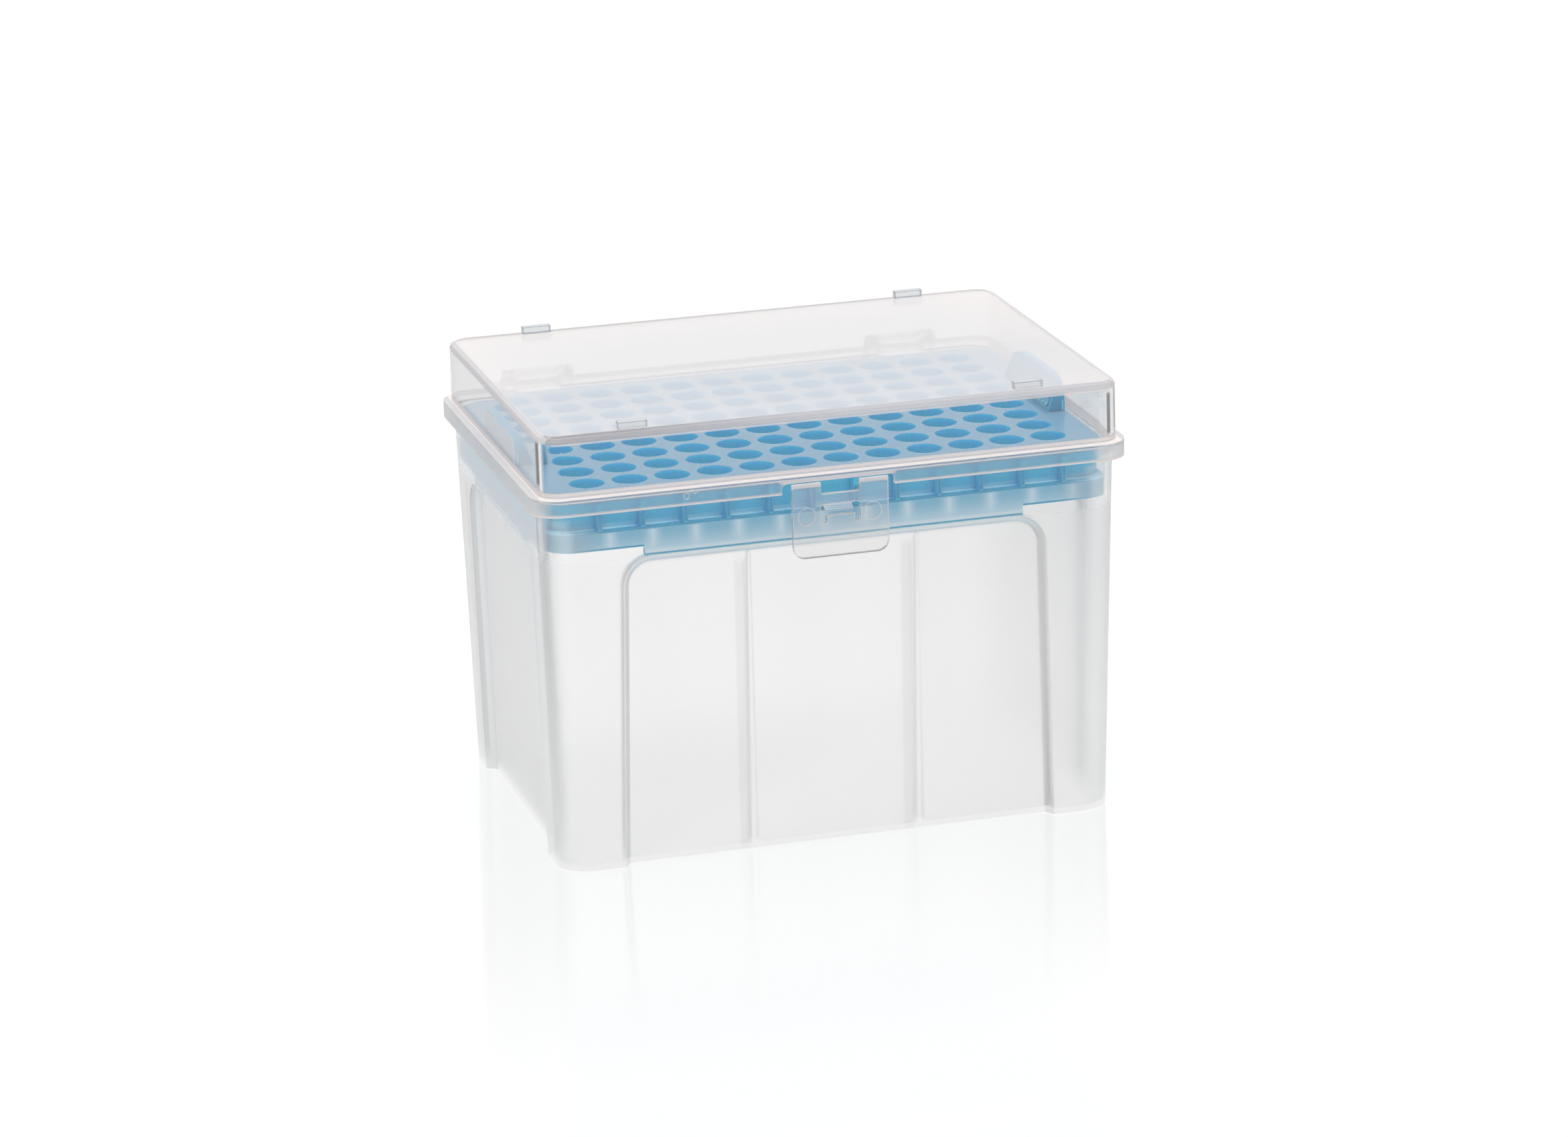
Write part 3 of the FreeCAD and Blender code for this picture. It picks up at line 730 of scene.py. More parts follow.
@dataclass(frozen=True)
class FlapPlastic(ClearPlastic):
    """The latch flap's plastic: milkier, with painted highlights on the strips where it bends."""

    name: str = "clear_polypropylene_flap"
    haze_least: float = 0.10
    haze_edges: float = 0.42
    haze_strip: float = 0.50
    haze_foot: float = 0.48
    haze_slant: float = 0.1
    body_tint: Colour = (0.84, 0.80, 0.80)
    # Painted shade on the edges of the flap's foot.
    foot_edge_shade: Colour = (0.10, 0.10, 0.10)
    strip_from: Fade = (0.07830, 0.07840)
    foot_to: Fade = (0.0636, 0.0650)

    def veil(self, tree: Tree, edge: Sock, facing: Sock) -> tuple[Sock, Sock]:
        """Even haze, painted highlights on the outlines and bending strips, and painted shade on the foot's
        edges.

        Args:
            tree: the material's tree.
            edge: 1 on the edges.
            facing: 0 where the surface is seen square on, and 1 at its outline.

        Returns:
            The share of haze and its colour.
        """
        height = tree.axis("Z")
        # Painted highlight on the bending strips and outlines, painted shade on the foot's edges.
        strip = height.step(*self.strip_from)
        low = 1 - height.step(*self.foot_to)
        tint = tree.mixed((strip + edge).clamped(), self.body_tint, self.edge_highlight)
        tint = tree.mixed(low * edge, tint, self.foot_edge_shade)
        share = strip * self.haze_strip + edge * (low * self.haze_foot + self.haze_edges)
        return share + facing * self.haze_slant + self.haze_least, tint


@dataclass(frozen=True)
class BluePlastic:
    """Glossy blue polypropylene that glows where light gets in, and whose colour holds painted light and
    shade: lighter wells, streaks and pools of light, and dark lines.
    """

    name: str = "blue_polypropylene"
    glow: float = 1.0
    glow_reach: float = 0.0016
    roughness: float = 0.28
    rough_spread: float = 0.06
    plate_roughness: float = 0.16
    plate: Colour = (0.185, 0.355, 0.495)
    # Painted glow: the recess and the wells are lighter than the plate, as if lit from inside.
    hollow: Colour = (0.012, 0.550, 0.80)
    well: Colour = (0.014, 0.605, 0.85)
    # Painted light: the skirt gets lighter towards its hem.
    skirt_high: Colour = (0.21, 0.54, 0.70)
    skirt_low: Colour = (0.65, 0.80, 0.87)
    skirt_hem: Colour = (0.74, 0.83, 0.88)
    # Painted light: streaks where light shines between the tubes.
    light_streak: Colour = (0.66, 0.81, 0.88)
    # Painted pools of light on the ledge between the gussets.
    light_pool: Colour = (0.60, 0.84, 0.92)
    # Painted shade on the tabs' crests.
    edge: Colour = (0.008, 0.35, 0.60)
    # Painted shade lines along the skirt's foot and across the ledge.
    shade_line: Colour = (0.002, 0.29, 0.46)
    # Painted light: paler skirt and ledge towards the corners.
    corner: Colour = (0.40, 0.54, 0.62)
    # Painted light and shade: gusset sides lightened and gusset fronts darkened, so both show as one dark
    # line.
    gusset_side: Colour = (0.006, 0.50, 0.74)
    gusset_front: Colour = (0.008, 0.29, 0.50)
    # Painted shade band along the plate's edge and at the tabs' foot.
    brim: Colour = (0.04, 0.24, 0.46)
    pad: Colour = (0.09, 0.42, 0.62)
    # Painted highlights on the grip pips and the tabs' end stripes.
    pip_highlight: Colour = (0.28, 0.66, 0.84)
    tab: Colour = (0.02, 0.34, 0.55)
    # Painted reflection on the tabs' outer faces.
    tab_back_reflection: Colour = (0.42, 0.54, 0.68)
    flank: Colour = (0.33, 0.44, 0.60)
    cloud_tint: Colour = (0.02, 0.22, 0.46)
    cloud_share: float = 0.12
    hem_share: float = 0.7
    pool_slope: float = 0.6
    pool_wall_share: float = 0.6
    foot_share: float = 0.6
    flank_share: float = 0.6
    corner_share: float = 0.85
    corner_drop: float = 0.35
    corner_light_streak_share: float = 0.6
    corner_light_streak_drop: float = 0.6
    pitch: float = 0.009
    light_streak_x: float = 0.0065
    light_streak_half: float = 0.0025
    light_streak_power: float = 1.5
    skirt_bottom: float = 0.06845
    tongue_drop: float = 0.00195
    skirt_outline: Band = (0.05985, 0.0416, 0.0054)
    skirt_skin: Fade = (-0.0020, -0.0012)
    skirt_rise: Fade = (0.0655, 0.0722)
    hem_to: Fade = (0.0675, 0.0678)
    light_streak_from: Fade = (0.0655, 0.0700)
    light_streak_to: Fade = (0.0716, 0.0724)
    bay_x: Band = (0.0007, 0.0083, 0.0006)
    pool_y: Fade = (0.0399, 0.0403)
    pool_ledge_z: Band = (0.0725, 0.0001, 0.0002)
    pool_wall_z: Band = (0.0724, 0.0735, 0.0005)
    hollow_y: Fade = (0.0355, 0.0361)
    gusset_face: Fade = (0.00030, 0.00042)
    gusset_x: Fade = (0.0004, 0.0006)
    gusset_y: Fade = (0.0362, 0.0366)
    gusset_from: Fade = (0.0727, 0.0729)
    gusset_to: Fade = (0.0764, 0.0770)
    plate_from: Fade = (0.0797, 0.0799)
    plate_outline: Band = (0.0593, 0.0388, 0.0050)
    brim_skin: Fade = (-0.00025, -0.0001)
    brim_from: Fade = (0.0780, 0.0784)
    ledge_from: Fade = (0.0723, 0.0725)
    tongue_x: Fade = (0.0403, 0.0405)
    tongue_y: Fade = (0.0226, 0.0228)
    foot_line: Fade = (0.0003, 0.0005)
    shade_line_y: Fade = (0.0401, 0.0404)
    shade_line_z: Band = (0.07235, 0.00015, 0.0001)
    corner_x: Fade = (0.0460, 0.0580)
    corner_y: Fade = (0.0330, 0.0350)
    corner_z: Band = (0.0675, 0.0755, 0.0015)
    corner_ledge: Fade = (0.0724, 0.0735)
    corner_light_streak_x: Band = (0.0568, 0.0004, 0.0022)
    corner_light_streak_to: Fade = (0.0735, 0.0750)
    flank_x: Fade = (0.0590, 0.0594)
    tab_from: Fade = (0.0800, 0.0801)
    tab_crest: Fade = (0.0855, 0.0858)
    tab_back_x: Fade = (0.05915, 0.05925)
    tab_end_y: Fade = (0.01410, 0.01415)
    tab_stripe_x: Band = (0.0587, 0.0001, 0.0001)
    pad_proud: Fade = (0.00005, 0.00009)
    pip_proud: Fade = (0.00020, 0.00030)
    tab_foot_x: Band = (0.0542, 0.0557, 0.0003)
    tab_foot_y: Fade = (0.0150, 0.0156)

    def skirt(self, tree: Tree) -> Sock:
        """Colour of the skirt below the ledge, with painted light: lighter towards the hem, and streaks of
        light between the tubes.

        Args:
            tree: the material's tree.

        Returns:
            The colour.
        """
        half = self.pitch / 2
        across, height = tree.axis("X"), tree.axis("Z")
        skirt = tree.mixed(height.step(*self.skirt_rise), self.skirt_low, self.skirt_high)
        # Painted streaks of light between the tubes.
        gap = (across - self.light_streak_x).wrapped(-half, half).size()
        light_streak = (1 - gap / self.light_streak_half).clamped() ** self.light_streak_power
        light_streak = light_streak * height.step(*self.light_streak_from) * (1 - height.step(*self.light_streak_to))
        skirt = tree.mixed(light_streak, skirt, self.light_streak)
        # Painted light at the hem.
        hem = 1 - height.step(*self.hem_to)
        return tree.mixed(hem * self.hem_share, skirt, self.skirt_hem)

    def recess(self, tree: Tree) -> Sock:
        """Colour of the wells, and of the wall between the plate and the ledge, with its gussets, painted
        with glow, pools of light and gusset shade.

        Args:
            tree: the material's tree.

        Returns:
            The colour.
        """
        half = self.pitch / 2
        across, deep, height = tree.place()
        far = deep.size()
        bay = (across - half).wrapped(0.0, self.pitch)
        # Painted pool of light, brighter at each bay's left end.
        light_pool = bay.between(*self.bay_x) * (1 - bay * (self.pool_slope / self.pitch))
        ledge = height.near(*self.pool_ledge_z) * (1 - far.step(*self.pool_y))
        light_pool = light_pool * ledge.larger(height.between(*self.pool_wall_z) * self.pool_wall_share)
        # Painted glow in the recess and wells, with painted pools of light.
        colour = tree.mixed(light_pool, tree.mixed(far.step(*self.hollow_y), self.well, self.hollow), self.light_pool)
        beside = (across - half).wrapped(-half, half).size()
        # Painted light and shade on the gussets.
        shade = tree.mixed(beside.step(*self.gusset_face), self.gusset_front, self.gusset_side)
        gusset = (1 - beside.step(*self.gusset_x)) * far.step(*self.gusset_y)
        gusset = gusset * height.step(*self.gusset_from) * (1 - height.step(*self.gusset_to))
        return tree.mixed(gusset, colour, shade)

    def corners(self, tree: Tree, colour: Sock) -> Sock:
        """Painted light: paler skirt and ledge towards the four corners, with streaks of light.

        Args:
            tree: the material's tree.
            colour: the rest of the rack.

        Returns:
            The colour with the corners in it.
        """
        across, deep, height = tree.place()
        wide, far = across.size(), deep.size()
        corner = wide.step(*self.corner_x) * far.step(*self.corner_y) * height.between(*self.corner_z)
        share = self.corner_share - height.step(*self.corner_ledge) * self.corner_drop
        colour = tree.mixed(corner * share, colour, self.corner)
        fading = 1 - height.step(*self.corner_light_streak_to) * self.corner_light_streak_drop
        light_streak = wide.near(*self.corner_light_streak_x) * corner * fading
        return tree.mixed(light_streak * self.corner_light_streak_share, colour, self.light_streak)

    def tabs(self, tree: Tree, colour: Sock) -> Sock:
        """Finger tabs, their grip pads and the plate at their foot, with painted shade on the crests and
        foot, a painted reflection on the outer faces and painted highlights on the pips and end stripes.

        Args:
            tree: the material's tree.
            colour: the rest of the rack.

        Returns:
            The colour with the tabs in it.
        """
        across, deep, height = tree.place()
        wide, far = across.size(), deep.size()
        tab = height.step(*self.tab_from)
        proud = (height - PLATE_TOP) * TAB_SLOPE + TAB_FOOT_X - wide
        foot = wide.between(*self.tab_foot_x) * (1 - far.step(*self.tab_foot_y))
        layers = (
            (tab, tree.mixed(wide.step(*self.tab_back_x), self.tab, self.tab_back_reflection)),
            (tab * height.step(*self.tab_crest), self.edge),
            (tab * far.step(*self.tab_end_y) * wide.near(*self.tab_stripe_x), self.pip_highlight),
            (tab * proud.step(*self.pad_proud), self.pad),
            (tab * proud.step(*self.pip_proud), self.pip_highlight),
            ((1 - tab) * height.step(*self.plate_from) * foot * self.foot_share, self.brim),
        )
        for share, layer in layers:
            colour = tree.mixed(share, colour, layer)
        return colour

    def make(self) -> Material:
        """Builds the material.

        Returns:
            The material.
        """
        material = bpy.data.materials.new(self.name)
        tree = Tree(material)
        cloud = tree.noise(scale=60.0, detail=3.0, rough=0.5)
        grain = tree.noise(scale=1800.0, detail=2.0, rough=0.6)
        across, deep, height = tree.place()
        wide, far = across.size(), deep.size()
        outer = tree.outside(wide, far, self.skirt_outline).step(*self.skirt_skin)
        # Painted shade band along the plate's edge.
        brim = tree.outside(wide, far, self.plate_outline).step(*self.brim_skin)
        brim = brim * height.step(*self.brim_from)
        top = height.step(*self.plate_from)
        below = outer * (1 - height.step(*self.ledge_from))
        tongue = 1 - wide.step(*self.tongue_x).smaller(far.step(*self.tongue_y))
        # Painted shade lines along the skirt's foot and across the ledge.
        foot = (height - self.skirt_bottom + tongue * self.tongue_drop).step(*self.foot_line)
        shade_line = (1 - foot).larger(height.near(*self.shade_line_z) * far.step(*self.shade_line_y))
        colour = tree.mixed(brim, self.recess(tree), self.brim)
        colour = tree.mixed(top, colour, self.plate)
        colour = tree.mixed(below, colour, self.skirt(tree))
        colour = tree.mixed(outer * shade_line, colour, self.shade_line)
        colour = self.corners(tree, colour)
        colour = tree.mixed(wide.step(*self.flank_x) * (1 - top) * self.flank_share, colour, self.flank)
        colour = self.tabs(tree, colour)
        rough = (grain - 0.5) * self.rough_spread + self.roughness
        plastic = tree.add(
            "ShaderNodeBsdfPrincipled",
            None,
            {
                "Base Color": tree.mixed(cloud * self.cloud_share, colour, self.cloud_tint),
                "Roughness": rough - top * (self.roughness - self.plate_roughness),
                "IOR": PLASTIC_IOR,
                "Subsurface Weight": self.glow,
                "Subsurface Radius": (0.8, 0.9, 1.0),
                "Subsurface Scale": self.glow_reach,
                "Specular IOR Level": 0.25,
                "Normal": tree.bump(grain, strength=0.2, depth=0.00003),
            },
        )
        out = tree.add("ShaderNodeOutputMaterial")
        tree.links.new(plastic.outputs[0], out.inputs["Surface"])
        return material


def through_shadow(tree: Tree, material: Material, shader: Socket, tint: Colour) -> Material:
    """Lets light shine straight through a plastic, tinted, and ends its tree.

    Args:
        tree: the material's tree.
        material: the material.
        shader: what it looks like to the rays that show it.
        tint: what the light keeps at each surface.

    Returns:
        The material.
    """
    path = tree.add("ShaderNodeLightPath")
    lit = Sock(tree, path.outputs["Is Shadow Ray"]).larger(Sock(tree, path.outputs["Is Diffuse Ray"]))
    open_way = tree.add("ShaderNodeBsdfTransparent", None, {"Color": tint})
    out = tree.add("ShaderNodeOutputMaterial")
    tree.links.new(tree.blend(lit, shader, open_way.outputs[0]), out.inputs["Surface"])
    return material


class Bench:
    """Hand tools for one small moulded piece at a time."""

    @staticmethod
    def clear() -> None:
        """Leaves nothing selected."""
        bpy.ops.object.select_all(action="DESELECT")

    @staticmethod
    def cut(place: Vector, facing: Vector) -> None:
        """Cuts the active mesh with a plane, keeps what is behind it and closes the cut.

        Args:
            place: a point on the plane.
            facing: the side that goes.
        """
        bpy.ops.object.mode_set(mode="EDIT")
        bpy.ops.mesh.select_all(action="SELECT")
        bpy.ops.mesh.bisect(plane_co=place, plane_no=facing, clear_outer=True, use_fill=True)
        bpy.ops.mesh.select_all(action="SELECT")
        bpy.ops.mesh.normals_make_consistent(inside=False)
        bpy.ops.object.mode_set(mode="OBJECT")

    @staticmethod
    def settle(angle: float = 35.0) -> Piece:
        """Puts the active piece's place into its mesh and smooths it.

        Args:
            angle: faces that meet at less than this many degrees are smoothed.

        Returns:
            The piece.
        """
        bpy.ops.object.transform_apply(location=True, rotation=True, scale=True)
        bpy.ops.object.shade_smooth_by_angle(angle=math.radians(angle))
        return bpy.context.object

    @staticmethod
    def bead_ring(place: Vector, radius: float, bead: float, outward: Vector) -> Piece:
        """A raised ring mark with a half-round bead.

        Args:
            place: its centre, on the face that carries it.
            radius: to the middle of the bead.
            bead: the bead's own radius.
            outward: away from the face, along an axis.

        Returns:
            The ring.
        """
        Bench.clear()
        turn = outward.to_track_quat("Z", "Y").to_euler()
        bpy.ops.mesh.primitive_torus_add(
            location=place,
            rotation=turn,
            major_radius=radius,
            minor_radius=bead,
            major_segments=36,
            minor_segments=8,
        )
        bpy.ops.object.mode_set(mode="EDIT")
        bpy.ops.mesh.select_all(action="SELECT")
        bpy.ops.mesh.bisect(plane_co=place + outward * CUT_LIFT, plane_no=-outward, clear_outer=True)
        bpy.ops.mesh.select_all(action="DESELECT")
        bpy.ops.mesh.select_non_manifold()
        bpy.ops.mesh.bridge_edge_loops()
        bpy.ops.mesh.select_all(action="SELECT")
        bpy.ops.mesh.normals_make_consistent(inside=False)
        bpy.ops.object.mode_set(mode="OBJECT")
        return Bench.settle()

    @staticmethod
    def join(pieces: Sequence[Piece], name: str) -> Piece:
        """Joins settled pieces into one.

        Args:
            pieces: what is joined, all in place.
            name: the joined piece's name.

        Returns:
            The joined piece.
        """
        Bench.clear()
        for piece in pieces:
            piece.select_set(True)
        bpy.context.view_layer.objects.active = pieces[0]
        bpy.ops.object.join()
        pieces[0].name = name
        return pieces[0]


@dataclass
class SubAssembly:
    """A part of the box that rides on one body and wears one finish."""

    node: str
    body: str
    finish: Finish
    material: Material

    def dress(self) -> None:
        """Gives the CAD node its material."""
        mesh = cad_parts[self.node].data
        mesh.materials.clear()
        mesh.materials.append(self.material)
        LOG.info("%s dressed in %s", self.node, self.material.name)

    def mount(self, piece: Piece, material: Optional[Material] = None) -> Piece:
        """Dresses a new piece and lets it ride with its body.

        Args:
            piece: the piece, in place.
            material: its own material, where it isn't the sub-assembly's.

        Returns:
            The piece.
        """
        piece.data.materials.clear()
        piece.data.materials.append(material or self.material)
        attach(piece, self.body)
        LOG.info("%s rides on %s with %d faces", piece.name, self.body, len(piece.data.polygons))
        return piece

    def build(self) -> None:
        """Dresses the node and adds its small pieces."""
        self.dress()


@dataclass
class BaseBox(SubAssembly):
    """Frosted base, whose shape is all in its CAD node."""


@dataclass
class TipRack(SubAssembly):
    """Blue rack with a pad of grip pips on the inner face of each finger tab."""

    pad_low: float = 0.0806
    pad_high: float = 0.0854
    pad_half: float = 0.0128
    pad_thick: float = 0.00012
    pad_lift: float = 0.00001
    pad_corner: float = 0.0008
    pad_segments: int = 5
    pip_radius: float = 0.00030
    pip_sunk: float = 0.3
    pip_pitch: float = 0.00208
    row_pitch: float = 0.00125
    row_shift: float = 0.00060
    row_start: float = 0.0006
    columns: int = 12
    rows: int = 4

    def on_face(self, side: int, deep: float, height: float, out: float = 0.0) -> Vector:
        """A point on a tab's inner face.

        Args:
            side: -1 for the left tab, 1 for the right.
            deep: its Y.
            height: its Z.
            out: how far off the face.

        Returns:
            The point.
        """
        run = TAB_FOOT_X + (height - PLATE_TOP) * TAB_SLOPE
        return Vector((side * run, deep, height)) + self.inward(side) * out

    def inward(self, side: int) -> Vector:
        """The direction a tab's inner face looks in."""
        return Vector((-side, 0.0, TAB_SLOPE)).normalized()

    def pad(self, side: int) -> Piece:
        """The raised pad that carries the pips.

        Args:
            side: -1 for the left tab, 1 for the right.

        Returns:
            The pad.
        """
        Bench.clear()
        height = (self.pad_low + self.pad_high) / 2
        middle = self.on_face(side, 0.0, height, self.pad_thick / 2 + self.pad_lift)
        rise = (self.pad_high - self.pad_low) * math.hypot(1.0, TAB_SLOPE)
        turn = self.inward(side).to_track_quat("Z", "Y").to_euler()
        bpy.ops.mesh.primitive_cube_add(size=1.0, location=middle, rotation=turn)
        piece = bpy.context.object
        long_axis = max(range(2), key=lambda i: abs(piece.matrix_basis.col[i][1]))
        extents = [rise, rise, self.pad_thick]
        extents[long_axis] = self.pad_half * 2
        piece.scale = extents
        bpy.ops.object.transform_apply(location=False, rotation=False, scale=True)
        corners = [e.index for e in piece.data.edges if abs(self.span(piece, e).z) > self.pad_thick / 2]
        bpy.ops.object.mode_set(mode="EDIT")
        bpy.ops.mesh.select_mode(type="EDGE")
        bpy.ops.mesh.select_all(action="DESELECT")
        bpy.ops.object.mode_set(mode="OBJECT")
        for index in corners:
            piece.data.edges[index].select = True
        bpy.ops.object.mode_set(mode="EDIT")
        bpy.ops.mesh.bevel(offset=self.pad_corner, segments=self.pad_segments)
        bpy.ops.object.mode_set(mode="OBJECT")
        return Bench.settle()

    @staticmethod
    def span(piece: Piece, edge: bpy.types.MeshEdge) -> Vector:
        """From one end of an edge to the other, in the piece's own axes."""
        first, last = (piece.data.vertices[v].co for v in edge.vertices)
        return last - first

    def pips(self, side: int) -> Piece:
        """Rows of low domes on the pad.

        Args:
            side: -1 for the left tab, 1 for the right.

        Returns:
            The domes as one mesh.
        """
        Bench.clear()
        out = self.inward(side)
        reach = (self.columns - 1) * self.pip_pitch + (self.rows - 1) * self.row_shift
        first = self.on_face(side, -reach / 2, self.pad_low + self.row_start, self.pad_thick)
        bpy.ops.mesh.primitive_ico_sphere_add(subdivisions=2, radius=self.pip_radius, location=first)
        Bench.cut(first - out * (self.pip_radius * self.pip_sunk), -out)
        piece = bpy.context.object
        climb = self.on_face(side, 0.0, PLATE_TOP + self.row_pitch) - self.on_face(side, 0.0, PLATE_TOP)
        steps = (
            ("columns", self.columns, Vector((0.0, self.pip_pitch, 0.0))),
            ("rows", self.rows, climb + Vector((0.0, self.row_shift, 0.0))),
        )
        for name, count, offset in steps:
            array = piece.modifiers.new(name, "ARRAY")
            array.count = count
            array.use_relative_offset = False
            array.use_constant_offset = True
            array.constant_offset_displace = offset
            bpy.ops.object.modifier_apply(modifier=name)
        return Bench.settle(60.0)

    def build(self) -> None:
        """Dresses the rack and adds its grip pads."""
        self.dress()
        grip = BluePlastic("blue_polypropylene_grip", glow=0.0).make()
        for side, word in ((-1, "left"), (1, "right")):
            self.mount(Bench.join([self.pad(side), self.pips(side)], f"grip_pad_{word}"), grip)


@dataclass
class Lid(SubAssembly):
    """Clear lid with two round moulding marks on its front flange."""

    flange_y: float = -0.0451
    marks: tuple[Triple, ...] = ((-0.03200, 0.07895, 0.00062), (-0.03025, 0.07975, 0.00036))
    bead: float = 0.00011

    def flange_marks(self) -> Piece:
        """The round marks, each given by its X, its Z and its radius.

        Returns:
            The marks as one mesh.
        """
        front = Vector((0, -1, 0))
        places = [(Vector((x, self.flange_y, z)), radius) for x, z, radius in self.marks]
        rings = [Bench.bead_ring(place, radius, self.bead, front) for place, radius in places]
        return Bench.join(rings, "flange_marks")

    def build(self) -> None:
        """Dresses the lid and adds its marks."""
        self.dress()
        self.mount(self.flange_marks())


@dataclass
class LatchFlap(SubAssembly):
    """Latch flap with a plain ring mark on each side of its slot."""

    back_y: float = -0.0453
    ring_x: float = 0.0070
    ring_z: float = 0.0720
    ring_radius: float = 0.0019
    bead: float = 0.00010

    def rings(self) -> Piece:
        """The ring marks, on the flap's inner face.

        Returns:
            The rings as one mesh.
        """
        inward = Vector((0, 1, 0))
        places = [Vector((side * self.ring_x, self.back_y, self.ring_z)) for side in (-1, 1)]
        rings = [Bench.bead_ring(place, self.ring_radius, self.bead, inward) for place in places]
        return Bench.join(rings, "flap_rings")

    def build(self) -> None:
        """Dresses the flap and adds its ring marks."""
        self.dress()
        self.mount(self.rings())


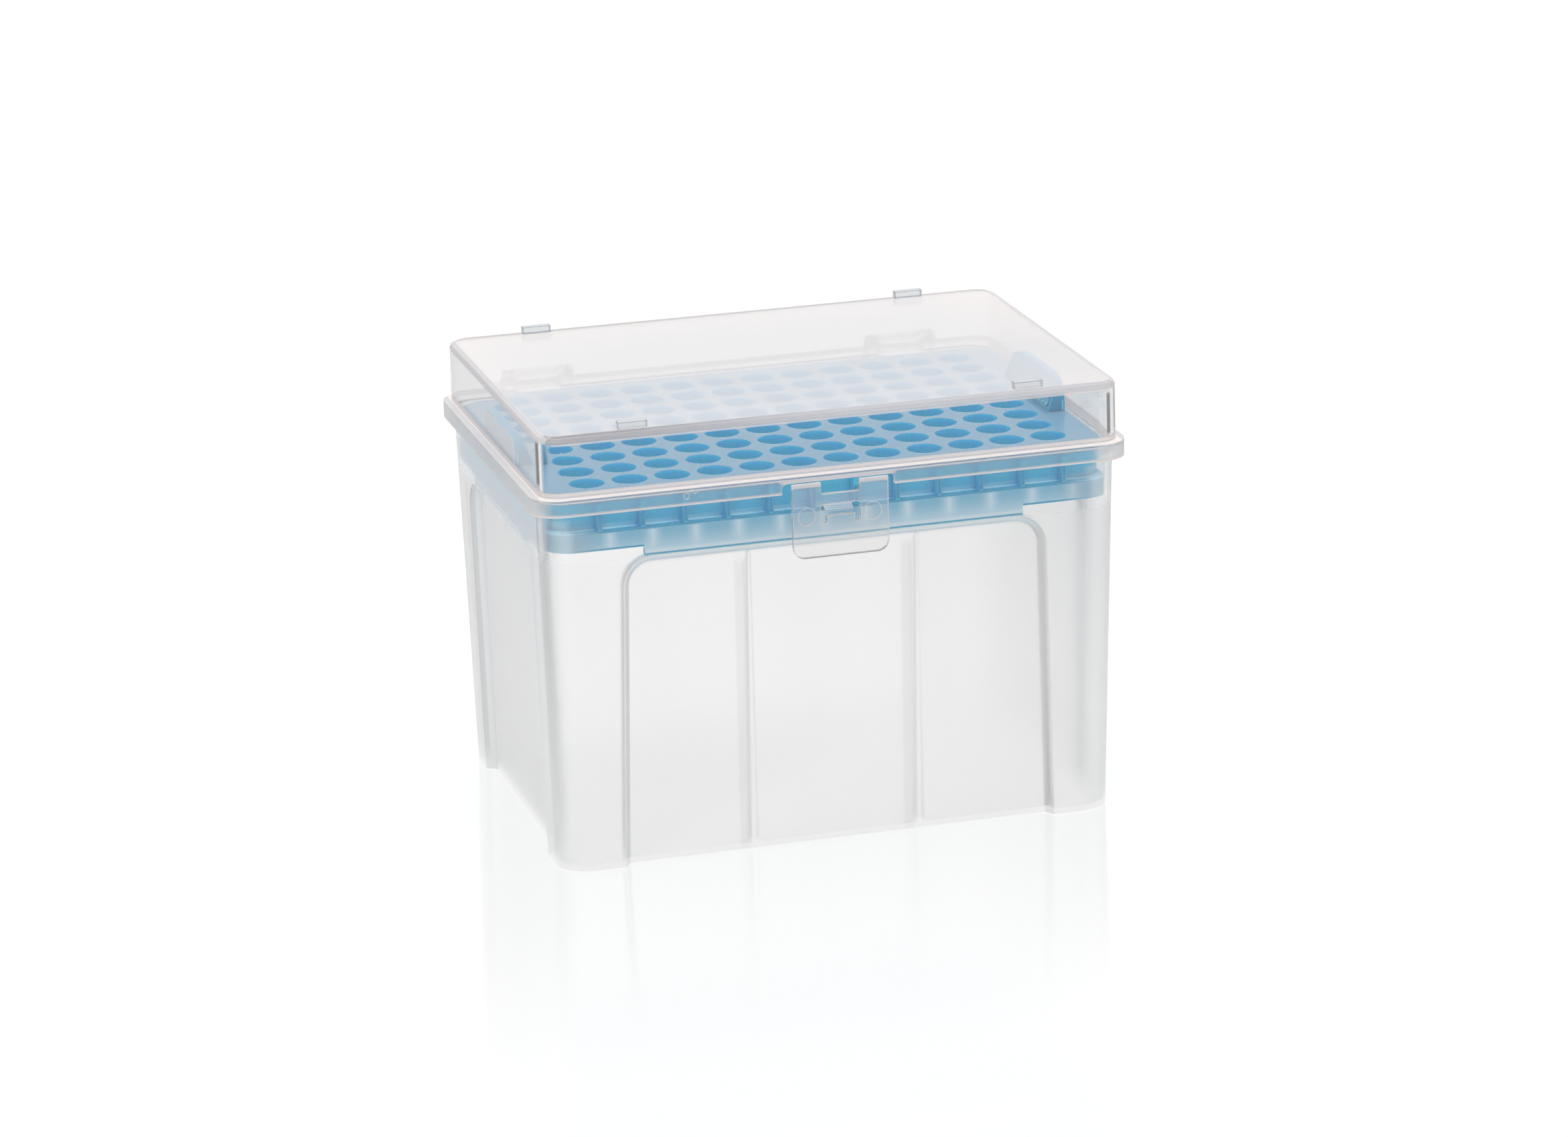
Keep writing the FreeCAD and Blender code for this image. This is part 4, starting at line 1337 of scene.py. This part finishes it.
@dataclass
class Studio:
    """White floor with a faint mirror, a white room and soft lamps."""

    floor_half: float = 6.0
    floor_glow: float = 1.015
    floor_tint: Colour = (0.97, 0.97, 0.97)
    floor_roughness: float = 0.08
    floor_matt: float = 0.10
    mirror_y: Fade = (-0.16, -0.05)
    mirror_least: float = 0.05
    mirror_rise: float = 0.20
    room_y: Fade = (-0.45, 0.65)
    room_least: float = 0.35
    ceiling_z: Fade = (0.30, 0.85)
    ceiling_glow: float = 1.2
    left_x: Fade = (0.10, 0.60)
    left_loss: float = 0.35
    right_x: Fade = (0.35, 0.80)
    right_loss: float = 0.40
    bounces: int = 24
    lamps: tuple[tuple[str, Triple, Triple, float, float], ...] = (
        ("top_panel", (0.0, 0.1, 1.4), (0.0, 0.0, 0.0), 1.2, 1.5),
        ("front_box", (-0.5, -1.3, 1.1), (0.0, 0.0, 0.05), 1.0, 1.6),
    )
    camera_place: Triple = (-0.28645, -1.02458, 0.37276)
    azimuth: float = -15.651
    elevation: float = 17.015
    roll: float = -1.553
    lens: float = 119.76
    sensor: float = 36.0
    clip: Fade = (0.05, 100.0)

    def camera(self) -> None:
        """Adds the camera."""
        a, e, t = (math.radians(v) for v in (self.azimuth, self.elevation, self.roll))
        back = Vector((math.sin(a) * math.cos(e), -math.cos(a) * math.cos(e), math.sin(e)))
        level = Vector((math.cos(a), math.sin(a), 0.0))
        rise = back.cross(level)
        right = math.cos(t) * level + math.sin(t) * rise
        up = -math.sin(t) * level + math.cos(t) * rise
        turn = Matrix((right, up, back)).transposed()
        data = bpy.data.cameras.new("camera")
        data.lens = self.lens
        data.sensor_width = self.sensor
        data.sensor_fit = "HORIZONTAL"
        data.clip_start, data.clip_end = self.clip
        camera = bpy.data.objects.new("camera", data)
        camera.matrix_world = Matrix.Translation(self.camera_place) @ turn.to_4x4()
        bpy.context.scene.collection.objects.link(camera)
        bpy.context.scene.camera = camera

    def lamp(self, name: str, place: Vector, aim: Vector, side: float, glow: float) -> None:
        """Adds a soft square lamp that the camera doesn't see.

        Args:
            name: the lamp's name.
            place: its middle.
            aim: the point it faces.
            side: metres along each side.
            glow: how bright its face is, where 1 is white.
        """
        data = bpy.data.lights.new(name, "AREA")
        data.shape = "RECTANGLE"
        data.size, data.size_y = side, side
        data.energy = glow * side * side * math.pi
        lamp = bpy.data.objects.new(name, data)
        lamp.location = place
        lamp.rotation_mode = "QUATERNION"
        lamp.rotation_quaternion = (aim - place).to_track_quat("-Z", "Y")
        lamp.visible_camera = False
        bpy.context.scene.collection.objects.link(lamp)

    def world(self) -> None:
        """A white room that is darker behind the camera."""
        world = bpy.data.worlds.new("room")
        bpy.context.scene.world = world
        tree = Tree(world)
        way = tree.add("ShaderNodeTexCoord").outputs["Generated"]
        split = tree.add("ShaderNodeSeparateXYZ", None, {"Vector": way})
        ahead = Sock(tree, split.outputs["Y"])
        side = Sock(tree, split.outputs["X"])
        up = Sock(tree, split.outputs["Z"])
        room = ahead.step(*self.room_y) * (1 - self.room_least) + self.room_least
        room = room.larger(up.step(*self.ceiling_z) * self.ceiling_glow)
        room = room * (1 - (0 - side).step(*self.left_x) * self.left_loss)
        room = room * (1 - side.step(*self.right_x) * self.right_loss)
        camera = Sock(tree, tree.add("ShaderNodeLightPath").outputs["Is Camera Ray"])
        strength = camera + (1 - camera) * room
        light = tree.add("ShaderNodeBackground", None, {"Color": WHITE, "Strength": strength})
        out = tree.add("ShaderNodeOutputWorld")
        tree.links.new(light.outputs[0], out.inputs["Surface"])

    def floor(self) -> None:
        """A white glossy floor whose mirror fades away from the box."""
        Bench.clear()
        bpy.ops.mesh.primitive_plane_add(size=self.floor_half * 2, location=(0, 0, 0))
        plane = bpy.context.object
        plane.name = "studio_floor"
        material = bpy.data.materials.new("studio_floor")
        tree = Tree(material)
        white = tree.add("ShaderNodeEmission", None, {"Color": WHITE, "Strength": self.floor_glow})
        matt = tree.add("ShaderNodeBsdfDiffuse", None, {"Color": self.floor_tint})
        gloss = tree.add("ShaderNodeBsdfGlossy", None, {"Color": WHITE, "Roughness": self.floor_roughness})
        near = tree.axis("Y").step(*self.mirror_y) * self.mirror_rise + self.mirror_least
        sheen = tree.blend(near, white.outputs[0], gloss.outputs[0])
        out = tree.add("ShaderNodeOutputMaterial")
        tree.links.new(tree.blend(self.floor_matt, sheen, matt.outputs[0]), out.inputs["Surface"])
        plane.data.materials.append(material)

    def build(self) -> None:
        """Builds the whole studio."""
        self.camera()
        self.world()
        self.floor()
        for name, place, aim, side, glow in self.lamps:
            self.lamp(name, Vector(place), Vector(aim), side, glow)
        view = bpy.context.scene.view_settings
        view.view_transform = "Standard"
        cycles = bpy.context.scene.cycles
        cycles.caustics_refractive = False
        cycles.caustics_reflective = False
        cycles.transparent_max_bounces = self.bounces
        cycles.max_bounces = self.bounces
        cycles.transmission_bounces = self.bounces
        LOG.info("studio built")


def main() -> None:
    """Builds the studio, then the box from its foot up."""
    logging.basicConfig(level=logging.INFO, format="%(message)s")
    Studio().build()
    parts = (
        BaseBox("base_box", "base", Finish.FROSTED, FrostedPlastic().make()),
        TipRack("tip_rack", "base", Finish.BLUE, BluePlastic().make()),
        Lid("lid", "lid_body", Finish.CLEAR, LidPlastic().make()),
        LatchFlap("latch_flap", "latch", Finish.CLEAR, FlapPlastic().make()),
    )
    for part in parts:
        part.build()


if __name__ == "__main__":
    main()
